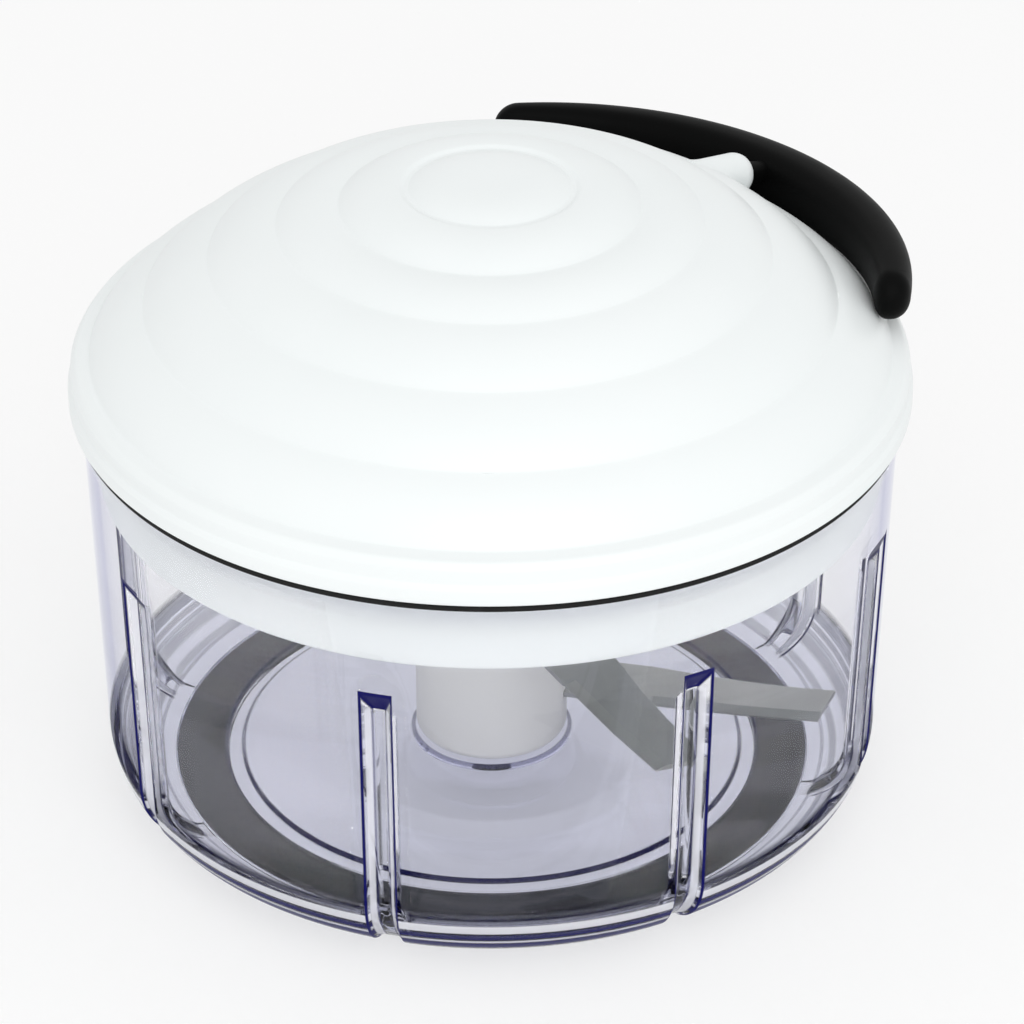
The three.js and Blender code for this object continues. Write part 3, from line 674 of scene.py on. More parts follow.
def piece(name: str, points: np.ndarray, faces: Sequence[Sequence[int]], sharp: float = SHARP) -> Object:
    """Makes a closed piece from points in millimetres, with its faces turned outwards.

    Args:
        name: the piece's name.
        points: one row of three numbers for each point.
        faces: point numbers round each face.
        sharp: the angle past which an edge stays sharp, in radians.

    Returns:
        The piece, at the origin.
    """
    mesh = bpy.data.meshes.new(name)
    mesh.from_pydata((np.asarray(points) * MM).tolist(), [], [list(face) for face in faces])
    work = bmesh.new()
    work.from_mesh(mesh)
    bmesh.ops.remove_doubles(work, verts=work.verts, dist=WELD)
    if work.calc_volume(signed=True) < 0:
        bmesh.ops.reverse_faces(work, faces=work.faces)
    work.to_mesh(mesh)
    work.free()
    made = bpy.data.objects.new(name, mesh)
    bpy.context.scene.collection.objects.link(made)
    smooth(made, sharp)
    return made


def smooth(made: Object, sharp: float = SHARP) -> None:
    """Shades a piece smooth, apart from its sharp edges."""
    made.data.shade_smooth()
    made.data.set_sharp_from_angle(angle=sharp)


def loft(name: str, rings: Sequence[np.ndarray], closed: bool = False, sharp: float = SHARP) -> Object:
    """A skin through rings of as many points each.

    Args:
        name: the piece's name.
        rings: the rings in order, in millimetres.
        closed: whether the last ring joins the first. If not, both ends are capped.
        sharp: the angle past which an edge stays sharp, in radians.

    Returns:
        The piece.
    """
    count = len(rings[0])
    faces = []
    last = len(rings) if closed else len(rings) - 1
    for k in range(last):
        low, high = k * count, (k + 1) % len(rings) * count
        for i in range(count):
            j = (i + 1) % count
            faces.append((low + i, low + j, high + j, high + i))
    if not closed:
        faces.append(tuple(range(count))[::-1])
        faces.append(tuple(range((len(rings) - 1) * count, len(rings) * count)))
    return piece(name, np.concatenate(rings), faces, sharp)


def turned(
    name: str,
    profile: Sequence[Point],
    columns: int = 128,
    closed: bool = False,
    azimuths: np.ndarray | None = None,
    shift: Callable[[np.ndarray, float, float], tuple[np.ndarray, np.ndarray]] | None = None,
    sharp: float = SHARP,
) -> Object:
    """Turns a profile round the Z axis.

    Args:
        name: the piece's name.
        profile: (radius, height) points in millimetres. Points on the axis close the piece.
        columns: sides of the piece, if no azimuths are given.
        closed: whether the profile's last point joins its first.
        azimuths: the azimuths of the columns in radians.
        shift: gives the radii and heights of a row at all the azimuths, to shape it.
        sharp: the angle past which an edge stays sharp, in radians.

    Returns:
        The piece.
    """
    if azimuths is None:
        azimuths = np.arange(columns) * TAU / columns
    count = len(azimuths)
    points, starts, faces = [], [], []
    for r, z in profile:
        starts.append(sum(len(row) for row in points))
        if r < WELD:
            points.append(np.array([[0.0, 0.0, z]]))
            continue
        radii, heights = shift(azimuths, r, z) if shift else (np.full(count, r), np.full(count, z))
        points.append(np.stack([radii * np.cos(azimuths), radii * np.sin(azimuths), heights], axis=1))
    rows = len(profile)
    for k in range(rows if closed else rows - 1):
        low, high = k, (k + 1) % rows
        single_low, single_high = len(points[low]) == 1, len(points[high]) == 1
        if single_low and single_high:
            continue
        for i in range(count):
            j = (i + 1) % count
            a = starts[low] if single_low else starts[low] + i
            b = starts[low] if single_low else starts[low] + j
            c = starts[high] if single_high else starts[high] + j
            d = starts[high] if single_high else starts[high] + i
            corners = [a, b, c, d]
            faces.append([p for n, p in enumerate(corners) if p not in corners[:n]])
    return piece(name, np.concatenate(points), faces, sharp)


def lathe(name: str, outline: Sequence[Sequence[float]], columns: int, closed: bool = False) -> Object:
    """Turns a profile round the Z axis after rounding its corners.

    Args:
        name: the piece's name.
        outline: the profile's corners, as for rounded.
        columns: sides of the piece.
        closed: whether the profile's last corner joins its first.

    Returns:
        The piece.
    """
    return turned(name, rounded(outline, closed=closed), columns, closed=closed)


def realised(made: Object, sharp: float | None = SHARP) -> Object:
    """Turns a piece and its modifiers into a plain mesh.

    Args:
        made: the piece.
        sharp: the angle past which an edge stays sharp, or None to leave the shading alone.

    Returns:
        The plain piece, under the same name.
    """
    bpy.context.view_layer.update()
    evaluated = made.evaluated_get(bpy.context.evaluated_depsgraph_get())
    mesh = bpy.data.meshes.new_from_object(evaluated)
    plain = bpy.data.objects.new("plain", mesh)
    bpy.context.scene.collection.objects.link(plain)
    name = made.name
    bpy.data.objects.remove(made)
    plain.name = name
    mesh.name = name
    if sharp is not None:
        smooth(plain, sharp)
    return plain


def cut(made: Object, tools: Sequence[Object], operation: str = "DIFFERENCE") -> Object:
    """Cuts tools out of a piece, or joins them to it, and removes them.

    Args:
        made: the piece.
        tools: closed shapes.
        operation: the Boolean modifier's operation.

    Returns:
        The plain piece.
    """
    for tool in tools:
        modifier = made.modifiers.new("cut", "BOOLEAN")
        modifier.operation = operation
        modifier.object = tool
        modifier.solver = "EXACT"
    plain = realised(made)
    for tool in tools:
        bpy.data.objects.remove(tool)
    return plain


def placed(made: Object, matrix: Matrix) -> Object:
    """Moves a piece's mesh, and leaves its object at the origin.

    Args:
        made: the piece.
        matrix: the move, in millimetres.

    Returns:
        The piece.
    """
    scale = Matrix.Scale(MM, 4)
    made.data.transform(scale @ matrix @ scale.inverted())
    return made


def post(name: str, radius: float, low: float, high: float, columns: int = 48) -> Object:
    """A plain upright cylinder on the axis between two heights."""
    return turned(name, [(0, low), (radius, low), (radius, high), (0, high)], columns)


def around(make: Callable[[], Object], count: int, first: float, place: float) -> list[Object]:
    """Makes the same part at even azimuths.

    Args:
        make: makes one, upright on the axis.
        count: how many.
        first: the azimuth of the first in degrees.
        place: their distance from the axis.

    Returns:
        The parts.
    """
    out = Matrix.Translation((place, 0, 0))
    turns = [Matrix.Rotation(math.radians(first + 360 * k / count), 4, "Z") for k in range(count)]
    return [placed(make(), turn @ out) for turn in turns]


def dress(made: Object, finish: Material, body: Body, replaces: Sequence[str] = ()) -> Object:
    """Gives a finished piece its material, its body and the nodes that it stands for.

    Args:
        made: the piece.
        finish: its material.
        body: the body that carries it.
        replaces: the names of the nodes that it stands for.

    Returns:
        The piece.
    """
    made.data.materials.clear()
    made.data.materials.append(finish)
    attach(made, body.value)
    if replaces:
        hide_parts(*replaces)
    log.info("%s: %d faces on %s", made.name, len(made.data.polygons), body.value)
    return made


# Geometry Nodes


class GeometryGraph(Graph):
    """A Geometry Nodes tree with named inputs, which ends in Realize Instances and Set Material."""

    def __init__(self, name: str, sizes: dict[str, str]) -> None:
        """Makes the tree and its inputs.

        Args:
            name: the tree's name.
            sizes: input name to socket type.
        """
        tree = bpy.data.node_groups.new(name, "GeometryNodeTree")
        super().__init__(tree)
        tree.interface.new_socket("Geometry", in_out="INPUT", socket_type="NodeSocketGeometry")
        for label, kind in sizes.items():
            tree.interface.new_socket(label, in_out="INPUT", socket_type=kind)
        tree.interface.new_socket("Material", in_out="INPUT", socket_type="NodeSocketMaterial")
        tree.interface.new_socket("Geometry", in_out="OUTPUT", socket_type="NodeSocketGeometry")
        self.inputs = self.node("NodeGroupInput").outputs

    def end(self, geometry: Socket) -> None:
        """Realizes the instances, sets the material and closes the tree."""
        plain = self.node("GeometryNodeRealizeInstances", {}, {0: geometry}).outputs[0]
        sockets = {"Geometry": plain, "Material": self.inputs["Material"]}
        coated = self.node("GeometryNodeSetMaterial", {}, sockets).outputs[0]
        self.node("NodeGroupOutput", {}, {0: coated})

    def apply(self, carrier: Object, values: dict[str, object]) -> Object:
        """Runs the tree on an object.

        Args:
            carrier: the object whose geometry goes in.
            values: input name to value.

        Returns:
            The plain piece.
        """
        modifier = carrier.modifiers.new("build", "NODES")
        modifier.node_group = self.tree
        for item in self.tree.interface.items_tree:
            if item.in_out == "INPUT" and item.name in values:
                modifier[item.identifier] = values[item.name]
        return realised(carrier)


class RadialCopies:
    """Copies a piece to even azimuths round the Z axis."""

    def __init__(self) -> None:
        """Builds the tree."""
        sizes = {"Count": "NodeSocketInt", "Radius": "NodeSocketFloat", "First Azimuth": "NodeSocketFloat"}
        graph = GeometryGraph("radial_copies", sizes)
        index = Value(graph, graph.node("GeometryNodeInputIndex").outputs[0])
        count, radius, first = (Value(graph, graph.inputs[label]) for label in sizes)
        turn = index * (TAU / count) + first
        sockets = {0: radius * graph.math("COSINE", turn), 1: radius * graph.math("SINE", turn)}
        place = graph.node("ShaderNodeCombineXYZ", {}, sockets).outputs[0]
        rotation = graph.node("ShaderNodeCombineXYZ", {}, {2: turn}).outputs[0]
        sockets = {"Count": count, "Position": place}
        points = graph.node("GeometryNodePoints", {}, sockets).outputs[0]
        sockets = {"Points": points, "Instance": graph.inputs["Geometry"], "Rotation": rotation}
        graph.end(graph.node("GeometryNodeInstanceOnPoints", {}, sockets).outputs[0])
        self.graph = graph

    def copy(
        self, single: Object, count: int, radius: float, first: float, finish: Material
    ) -> Object:
        """Makes the copies of a piece that stands on the axis.

        Args:
            single: the piece to copy.
            count: how many copies.
            radius: their distance from the axis in millimetres.
            first: the first azimuth in degrees.
            finish: their material.

        Returns:
            One piece that holds them all.
        """
        values = {"Count": count, "Radius": radius * MM, "First Azimuth": math.radians(first)}
        return self.graph.apply(single, {**values, "Material": finish})


class SweptCord:
    """Sweeps a round section along a curve, and stores where on the cord each point is."""

    SECTION = "section"
    ALONG = "along"

    def __init__(self) -> None:
        """Builds the tree."""
        graph = GeometryGraph("swept_cord", {"Radius": "NodeSocketFloat", "Sides": "NodeSocketInt"})
        spline = graph.node("GeometryNodeSplineParameter")
        along = self._stored(graph, "FLOAT", self.ALONG, graph.inputs["Geometry"], spline.outputs["Length"])
        sockets = {"Resolution": graph.inputs["Sides"], "Radius": graph.inputs["Radius"]}
        circle = graph.node("GeometryNodeCurvePrimitiveCircle", {"mode": "RADIUS"}, sockets).outputs[0]
        where = graph.node("GeometryNodeInputPosition").outputs[0]
        section = self._stored(graph, "FLOAT_VECTOR", self.SECTION, circle, where)
        sockets = {"Curve": along, "Profile Curve": section, "Fill Caps": True}
        graph.end(graph.node("GeometryNodeCurveToMesh", {}, sockets).outputs[0])
        self.graph = graph

    @staticmethod
    def _stored(graph: GeometryGraph, kind: str, name: str, geometry: Socket, value: Socket) -> Socket:
        """Stores a value under a name on a curve's points, and returns the curve."""
        settings = {"data_type": kind, "domain": "POINT"}
        sockets = {"Geometry": geometry, "Name": name, "Value": value}
        return graph.node("GeometryNodeStoreNamedAttribute", settings, sockets).outputs[0]

    def sweep(
        self, name: str, route: Sequence[Vector], radius: float, finish: Material, sides: int = 14
    ) -> Object:
        """Makes a cord along a route.

        Args:
            name: the piece's name.
            route: the points of its middle line in millimetres.
            radius: its radius in millimetres.
            finish: its material.
            sides: the sides of its section.

        Returns:
            The cord as a plain mesh.
        """
        curve = bpy.data.curves.new(name, "CURVE")
        curve.dimensions = "3D"
        spline = curve.splines.new("POLY")
        spline.points.add(len(route) - 1)
        for point, place in zip(spline.points, route):
            point.co = (*(place * MM), 1.0)
        carrier = bpy.data.objects.new(name, curve)
        bpy.context.scene.collection.objects.link(carrier)
        return self.graph.apply(carrier, {"Radius": radius * MM, "Sides": sides, "Material": finish})


# Shared places


@dataclass(frozen=True)
class Levels:
    """Heights that several sub-assemblies meet at, in millimetres."""

    bowl_under: float = 0.8
    bowl_rim: float = 83.5
    plate_bottom: float = 85.7
    plate_top: float = 87.9
    seat_top: float = 8.2
    gap: float = 0.3


LEVELS = Levels()


@dataclass(frozen=True)
class NozzleAxis:
    """The line that the cord leaves the lid by: where its mouth is, and which way it points."""

    azimuth: float = 45.0
    tilt: float = 17.0
    reach: float = 69.4
    height: float = 105.0

    def matrix(self) -> Matrix:
        """Lays a shape made along +Z, with the mouth at z = 0, on the nozzle's axis."""
        turn = Matrix.Rotation(math.radians(self.azimuth), 4, "Z")
        tip = Matrix.Rotation(math.radians(90 + self.tilt), 4, "Y")
        return turn @ Matrix.Translation((self.reach, 0, self.height)) @ tip

    def point(self, distance: float) -> Vector:
        """The point on the axis at a distance out of the mouth."""
        return self.matrix() @ Vector((0, 0, distance))


NOZZLE = NozzleAxis()


# Sub-assemblies


class Mark(NamedTuple):
    """A soft line where a value comes past a place: its middle, half its width and its strength."""

    middle: float
    half: float
    share: float = 1.0

    def drawn(self, shader: Shader, value: Value, start: float = 0.0) -> Value:
        """Draws the line.

        Args:
            shader: the material that it is drawn on.
            value: the value that has to come past.
            start: what the mark's middle is counted from.

        Returns:
            How strong the line is, from 0 to its share.
        """
        line = shader.line(value, start + self.middle, self.half)
        return line if self.share == 1.0 else line * self.share


@dataclass(frozen=True)
class BowlLook:
    """Where painted deep blue shade and painted white reflection go on the clear plastic, and where it bends
    light.

    Angles are in degrees below the level round the foot's rounding. The rest is in millimetres, and the
    bands are given as their start, their end and the fade past both.
    """

    skin: float = 0.9
    channel_skin: float = 0.35
    channel_end: Point = (62.0, 70.0)
    # Painted deep blue shade: lines at the flutes' edges and roofs, round the foot, at the inner corner, the
    # groove and the seat; the foot lines grow where the surface is seen aslant.
    edge: Mark = Mark(-0.05, 0.37)
    back: Mark = Mark(0.15, 0.22, 0.5)
    roof_half: float = 0.7
    roof_band: Band = (-1.0, -0.1, 0.2)
    foot_lines: tuple[Mark, ...] = (Mark(24.0, 4.5), Mark(38.0, 8.0), Mark(57.0, 5.0, 0.9))
    foot_ahead: float = 0.25
    foot_aslant: float = 1.1
    corner: Mark = Mark(65.6, 0.5)
    corner_share: float = 0.35
    groove_inner: Mark = Mark(0.3, 0.6, 0.6)
    groove_outer: Mark = Mark(0.3, 0.4, 0.7)
    seat: Mark = Mark(0.3, 0.6)
    seat_share: float = 0.6
    floor_soft: float = 0.1
    # Painted white reflection: on the flutes' steep sides and in bands round the foot's bend.
    side_white: float = 0.72
    side_band: Band = (0.5, -0.8, 0.3)
    side_ends: float = 1.5
    bend_white: float = 0.75
    bend_band: Band = (11.5, 18.0, 1.5)
    lower_band: Band = (29.5, 31.5, 1.5)
    lower_share: float = 0.7
    full_bend: float = 1.0
    plain_bend: float = 0.06
    side_bend: Band = (0.7, 3.2, 0.3)
    inner_drop: float = 6.0
    roof_reach: float = 3.1
    roof_below: float = 0.3
    foot_from: float = 1.0
    foot_soft: float = 2.0
    rim_from: float = 80.5
    rim_soft: float = 1.5


@dataclass
class Bowl:
    """The clear bowl with its flutes, the rubber ring under it and the pin in its floor."""

    rim_radius: float = 77.7
    foot_radius: float = 75.5
    corner: float = 14.8
    wall: float = 1.9
    floor: float = 4.2
    lip_fillet: float = 0.7
    foot_steps: int = 22
    foot_margin: float = 1.0
    groove: Point = (49.0, 52.4)
    groove_depth: float = 0.6
    groove_slant: float = 0.7
    groove_fillet: float = 0.8
    seat_radius: float = 15.2
    seat_edge: Point = (1.0, 0.7)
    seat_foot: float = 30.0
    seat_fillet: float = 6.0
    ring_inner: float = 52.8
    ring_outer: float = 62.6
    ring_height: float = 3.0
    ring_fillet: float = 0.3
    ring_edge: float = 0.5
    ring_top_edge: float = 0.2
    ring_grooves: int = 3
    ring_margin: float = 2.0
    ring_groove: Point = (0.5, 0.3)
    ring_groove_depth: float = 0.35
    ring_groove_fillet: float = 0.15
    pin_radius: float = 2.5
    pin_play: float = 0.25
    pin_bottom: float = 3.2
    pin_top: float = 24.2
    pin_cone: float = 1.4
    flutes: int = 8
    first_flute: float = -105.5
    mouth: float = 6.0
    back: float = 2.2
    depth: float = 2.7
    flute_top: float = 63.3
    roof_drop: float = 4.5
    foot_angle: float = 72.0
    foot_depth: float = 0.3
    foot_fade: float = 10.0
    rib: float = 2.5
    rib_half: float = 5.4
    rib_top: float = 66.0
    rib_drop: float = 8.0
    rib_foot: float = 65.0
    soft: float = 0.45
    fine: float = 0.32
    fine_half: float = 6.4
    coarse: int = 16
    row_counts: tuple[int, int, int] = (16, 24, 6)
    dense_below: float = 7.0
    dense_above: float = 2.0
    plain_rim: float = 2.0
    tint_fade: float = 6.0
    look: BowlLook = BowlLook()

    @property
    def corner_top(self) -> float:
        """Height where the wall meets its rounded foot."""
        return LEVELS.bowl_under + self.corner

    @property
    def flat(self) -> float:
        """Radius where the rounded foot meets the underside."""
        return self.foot_radius - self.corner

    @property
    def slope(self) -> float:
        """How far the wall leans out for each millimetre of height."""
        return (self.rim_radius - self.foot_radius) / (LEVELS.bowl_rim - self.corner_top)

    @property
    def pitch(self) -> float:
        """The angle from one flute to the next, in radians."""
        return TAU / self.flutes

    @property
    def first(self) -> float:
        """The azimuth of the first flute, in radians."""
        return math.radians(self.first_flute)

    def azimuths(self) -> np.ndarray:
        """Azimuths of the bowl's columns: close together at the flutes, and wide apart between them."""
        half = math.asin(self.fine_half / self.foot_radius)
        near = np.linspace(-half, half, round(2 * self.fine_half / self.fine) + 1)
        far = np.linspace(half, self.pitch - half, self.coarse + 1)[1:-1]
        both = np.concatenate([near, far])
        return np.concatenate([self.first + k * self.pitch + both for k in range(self.flutes)])

    @staticmethod
    def eased(share: np.ndarray) -> np.ndarray:
        """A share from 0 to 1 with soft ends."""
        return share * share * (3 - 2 * share)

    @staticmethod
    def ramp(values: np.ndarray, start: float, soft: float) -> np.ndarray:
        """A share that grows evenly from 0 to 1 past a start."""
        return np.clip((values - start) / soft, 0, 1)

    def shaped(self, full: float, halves: Point, roof: float, foot: float, aside: np.ndarray) -> np.ndarray:
        """The depth of a flute across one row.

        Args:
            full: the full depth.
            halves: half widths at the surface and at the full depth.
            roof: how deep the sloping roof lets it be at this row.
            foot: how deep the foot lets it be at this row.
            aside: the distances of the row's columns from the flute's middle.

        Returns:
            The depths.
        """
        side = full * (halves[0] - np.abs(aside)) / (halves[0] - halves[1])
        limit = least(np.full_like(aside, foot), np.full_like(aside, roof), self.soft)
        return -least(-least(side, limit, self.soft), np.zeros_like(aside), self.soft / 2)

    def shift(self, azimuths: np.ndarray, r: float, z: float) -> tuple[np.ndarray, np.ndarray]:
        """Presses the flutes into one row of the profile, and their ribs into its inside.

        Args:
            azimuths: the azimuths of the row's columns.
            r: the row's radius.
            z: its height.

        Returns:
            The radii and heights of the row's columns.
        """
        if r <= self.flat + self.foot_margin or z >= LEVELS.bowl_rim - self.plain_rim:
            return np.full(len(azimuths), r), np.full(len(azimuths), z)
        near = (azimuths - self.first + self.pitch / 2) % self.pitch - self.pitch / 2
        aside = r * np.sin(near)
        angle = math.degrees(math.atan2(max(0.0, self.corner_top - z), r - self.flat))
        skin = self.wall / 4
        if z < self.corner_top:
            outside = math.hypot(r - self.flat, z - self.corner_top) > self.corner - skin
            inwards = Vector((self.flat - r, self.corner_top - z)).normalized()
        else:
            outside = r > self.foot_radius + self.slope * (z - self.corner_top) - skin
            inwards = Vector((-1.0, 0.0))
        if outside:
            share = min(1.0, angle / self.foot_angle)
            foot = self.depth + (self.foot_depth - self.depth) * share**2
            foot *= max(0.0, min(1.0, (self.foot_angle + self.foot_fade - angle) / self.foot_fade))
            roof = (self.flute_top - z) / self.roof_drop * self.depth
            deep = self.shaped(self.depth, (self.mouth / 2, self.back / 2), roof, foot, aside)
        else:
            foot = 1 - min(1.0, angle / self.rib_foot) ** 2
            roof = self.eased(np.clip((self.rib_top - z) / self.rib_drop, 0, 1))
            deep = self.rib * foot * roof * self.eased(np.clip(1 - np.abs(aside) / self.rib_half, 0, 1))
        return r + deep * inwards.x, z + deep * inwards.y

    def rows(self) -> list[Point]:
        """The bowl's profile, from the middle of its underside over its rim to the middle of its floor."""
        under, rim, corner_top, flat = LEVELS.bowl_under, LEVELS.bowl_rim, self.corner_top, self.flat
        floor = under + self.floor
        ceiling = self.ring_height + LEVELS.gap
        inner, outer = self.ring_inner - LEVELS.gap, self.ring_outer + LEVELS.gap
        foot_end = -math.degrees(math.acos((outer - flat) / self.corner))
        stops = [corner_top, self.flute_top - self.dense_below, self.flute_top + self.dense_above]
        stops.append(rim - self.plain_rim)
        runs = zip(stops, stops[1:], self.row_counts)
        heights = np.concatenate([np.linspace(low, high, count)[1:] for low, high, count in runs])
        outside = [(self.foot_radius + self.slope * (z - corner_top), z) for z in heights]
        inside = [(r - self.wall, z) for r, z in reversed(outside)]
        foot = arc((flat, corner_top), (self.corner, self.corner), foot_end, 0, self.foot_steps)
        recess = [
            (0, under),
            (inner, under, self.ring_fillet),
            (inner, ceiling, self.ring_fillet),
            (outer, ceiling, self.ring_fillet),
            foot[0],
        ]
        lip = [
            outside[-1],
            (self.rim_radius, rim, self.lip_fillet),
            (self.rim_radius - self.wall, rim, self.lip_fillet),
            inside[0],
        ]
        inner_radii = (self.corner - self.wall, corner_top - floor)
        inner_foot = arc((flat, corner_top), inner_radii, 0, -90, self.foot_steps)
        low, seat, hole = floor - self.groove_depth, LEVELS.seat_top, self.pin_radius + self.pin_play
        middle = [
            (flat - self.foot_margin, floor),
            (self.groove[1] + self.groove_slant, floor, self.groove_fillet),
            (self.groove[1], low, self.groove_fillet),
            (self.groove[0] + self.groove_slant, low, self.groove_fillet),
            (self.groove[0], floor, self.groove_fillet),
            (self.seat_foot, floor, self.seat_fillet),
            (self.seat_radius + self.seat_edge[0], seat - self.seat_edge[1], 0.8),
            (self.seat_radius, seat, 0.5),
            (hole, seat, 0.2),
            (hole, self.pin_bottom - LEVELS.gap),
            (0, self.pin_bottom - LEVELS.gap),
        ]
        outer_rows = [*rounded(recess)[:-1], *foot, *outside[:-1], *rounded(lip)]
        return [*outer_rows, *inside[1:], *inner_foot, *rounded(middle)]

    def painted_shade_and_reflection(self, shader: Shader) -> tuple[Value, Value]:
        """Where painted deep blue shade and painted white reflection go on the clear plastic.

        The painted shade lines the flutes' edges and sloping roofs, rings the foot, and marks the inner
        corner, the groove and the pin's seat. The painted reflection covers the flutes' steep sides and the
        bend above the foot.

        Args:
            shader: the material that reads them.

        Returns:
            How strong the painted shade and the painted reflection are at a place, from 0 to 1.
        """
        look, mouth, back = self.look, self.mouth / 2, self.back / 2
        x, y, z = (part / MM for part in shader.split())
        r = shader.math("SQRT", x * x + y * y)
        turn = shader.math("ARCTAN2", y, x) - self.first + self.pitch / 2
        near = shader.math("FLOORED_MODULO", turn, self.pitch) - self.pitch / 2
        aside = shader.math("ABSOLUTE", r * shader.math("SINE", near))
        below = shader.math("MAXIMUM", self.corner_top - z, 0.0)
        above = shader.math("MAXIMUM", z - self.corner_top, 0.0)
        out = shader.math("MAXIMUM", r - self.flat, MM)
        angle = shader.math("ARCTAN2", below, out) * math.degrees(1)
        sunk = self.corner - shader.math("SQRT", out * out + below * below) + above * self.slope
        skin = shader.math("LESS_THAN", sunk, look.skin)

        roof_depth = (self.flute_top - z) * (self.depth / self.roof_drop)
        side_depth = shader.math("MAXIMUM", (mouth - aside) * (self.depth / (mouth - back)), 0.0)
        pressed = shader.math("MINIMUM", shader.math("MINIMUM", roof_depth, self.depth), side_depth)
        channel = shader.math("LESS_THAN", sunk, pressed + look.channel_skin)
        channel = channel * (1 - shader.between(angle, *look.channel_end))
        start, end, fade = look.roof_band
        roof = shader.line(sunk, roof_depth, look.roof_half) * shader.band(aside, start, mouth + end, fade)
        roof = roof * shader.math("GREATER_THAN", z, self.flute_top - self.roof_drop)
        edges = look.edge.drawn(shader, aside, mouth)
        flute = channel * shader.most(edges, look.back.drawn(shader, aside, back), roof)

        # The foot's painted shade lines are strongest where the surface is seen aslant.
        facing = Value(shader, shader.node("ShaderNodeLayerWeight", {}, {"Blend": 0.5}).outputs["Facing"])
        slanted = shader.math("MINIMUM", look.foot_ahead + facing * look.foot_aslant, 1.0)
        foot = skin * shader.most(*(mark.drawn(shader, angle) for mark in look.foot_lines)) * slanted
        within = shader.math("GREATER_THAN", sunk, look.skin) * shader.math("LESS_THAN", z, self.corner_top)
        corner = within * look.corner.drawn(shader, r) * look.corner_share

        floor, soft = LEVELS.bowl_under + self.floor, look.floor_soft
        inner = look.groove_inner.drawn(shader, r, self.groove[0])
        lines = shader.most(inner, look.groove_outer.drawn(shader, r, self.groove[1]))
        groove = shader.band(z, floor - self.groove_depth - soft, floor + soft, soft) * lines
        seat = look.seat.drawn(shader, r, self.seat_radius) * shader.band(z, floor, LEVELS.seat_top, soft)
        # Painted deep blue shade.
        blue = shader.most(flute, foot, corner, groove, seat * look.seat_share)

        # Painted white reflection on the flutes' steep sides and round the foot's bend.
        start, end, fade = look.side_band
        side = shader.band(aside, back + start, mouth + end, fade) * channel
        side = side * shader.band(z, 0, self.flute_top - self.roof_drop, look.side_ends) * look.side_white
        bend = skin * shader.band(angle, *look.bend_band) * look.bend_white
        lower = skin * shader.band(angle, *look.lower_band) * look.bend_white * look.lower_share
        return blue, shader.most(side, bend, lower)

    def bending(self, made: Object) -> np.ndarray:
        """How much the clear plastic bends light at each point of the bowl.

        Args:
            made: the bowl.

        Returns:
            Full bending at the flutes' sides, the rim, the foot and the floor, and very little in the
            plain wall.
        """
        look = self.look
        points = np.empty(3 * len(made.data.vertices))
        made.data.vertices.foreach_get("co", points)
        x, y, z = points.reshape(-1, 3).T / MM
        r = np.hypot(x, y)
        near = (np.arctan2(y, x) - self.first + self.pitch / 2) % self.pitch - self.pitch / 2
        aside = np.abs(r * np.sin(near))
        below = np.maximum(0, self.corner_top - z)
        angle = np.degrees(np.arctan2(below, np.maximum(r - self.flat, WELD)))
        sunk = self.corner - np.hypot(np.maximum(r - self.flat, 0), below)
        sunk = sunk + self.slope * np.maximum(0, z - self.corner_top)
        sides = (self.mouth / 2 - aside) / (self.mouth - self.back) * 2
        pressed = np.clip(np.minimum((self.flute_top - z) / self.roof_drop, sides), 0, 1)
        outside = sunk < pressed * self.depth + look.channel_skin
        start, end, soft = look.side_bend
        top = np.where(outside, self.flute_top, self.flute_top - look.inner_drop)
        at_side = self.ramp(aside, start, soft) * self.ramp(-aside, -end, soft)
        at_side = at_side * (angle < look.channel_end[0]) * (z < top)
        at_roof = outside * (aside < look.roof_reach) * (z < self.flute_top)
        at_roof = at_roof * (z > self.flute_top - self.roof_drop - look.roof_below)
        at_foot = self.ramp(-z, look.foot_from - self.corner_top, look.foot_soft)
        at_rim = self.ramp(z, look.rim_from, look.rim_soft)
        bent = np.maximum.reduce([at_side, at_roof, at_foot, at_rim])
        return bent * (look.full_bend - look.plain_bend) + look.plain_bend

    def ring(self) -> Object:
        """The rubber ring, with shallow grooves in its underside."""
        wide, narrow = self.ring_groove
        fillet, deep = self.ring_groove_fillet, self.ring_groove_depth
        inner, outer = self.ring_inner, self.ring_outer
        under = []
        for radius in np.linspace(inner + self.ring_margin, outer - self.ring_margin, self.ring_grooves):
            steps = ((-wide, 0), (-narrow, deep), (narrow, deep), (wide, 0))
            under += [(radius + aside, height, fillet) for aside, height in steps]
        section = [
            (inner, 0, self.ring_edge),
            *under,
            (outer, 0, self.ring_edge),
            (outer, self.ring_height, self.ring_top_edge),
            (inner, self.ring_height, self.ring_top_edge),
        ]
        return lathe("rubber_foot_ring", section, 180, closed=True)

    def pin(self) -> Object:
        """The pin, with its blunt cone on top."""
        section = [
            (0, self.pin_bottom),
            (self.pin_radius, self.pin_bottom, 0.3),
            (self.pin_radius, self.pin_top - self.pin_cone, 0.5),
            (self.pin_radius / 2, self.pin_top, 0.7),
            (0, self.pin_top),
        ]
        return lathe("pivot_pin", section, 48)

    def build(self, clear: ClearPlastic, grey: Material, steel: Material) -> None:
        """Builds and dresses the three pieces.

        Args:
            clear: the bowl's finish.
            grey: the ring's material.
            steel: the pin's material.
        """
        shell = turned("fluted_bowl", self.rows(), azimuths=self.azimuths(), shift=self.shift)
        paint(shell, ClearPlastic.BEND, self.bending(shell))
        finish = clear.material(self.painted_shade_and_reflection, (self.corner_top, self.corner_top + self.tint_fade))
        dress(shell, finish, Body.BOWL, ["bowl"])
        dress(self.ring(), grey, Body.BOWL, ["anti_slip_ring"])
        dress(self.pin(), steel, Body.BOWL, ["blade_pivot_pin"])


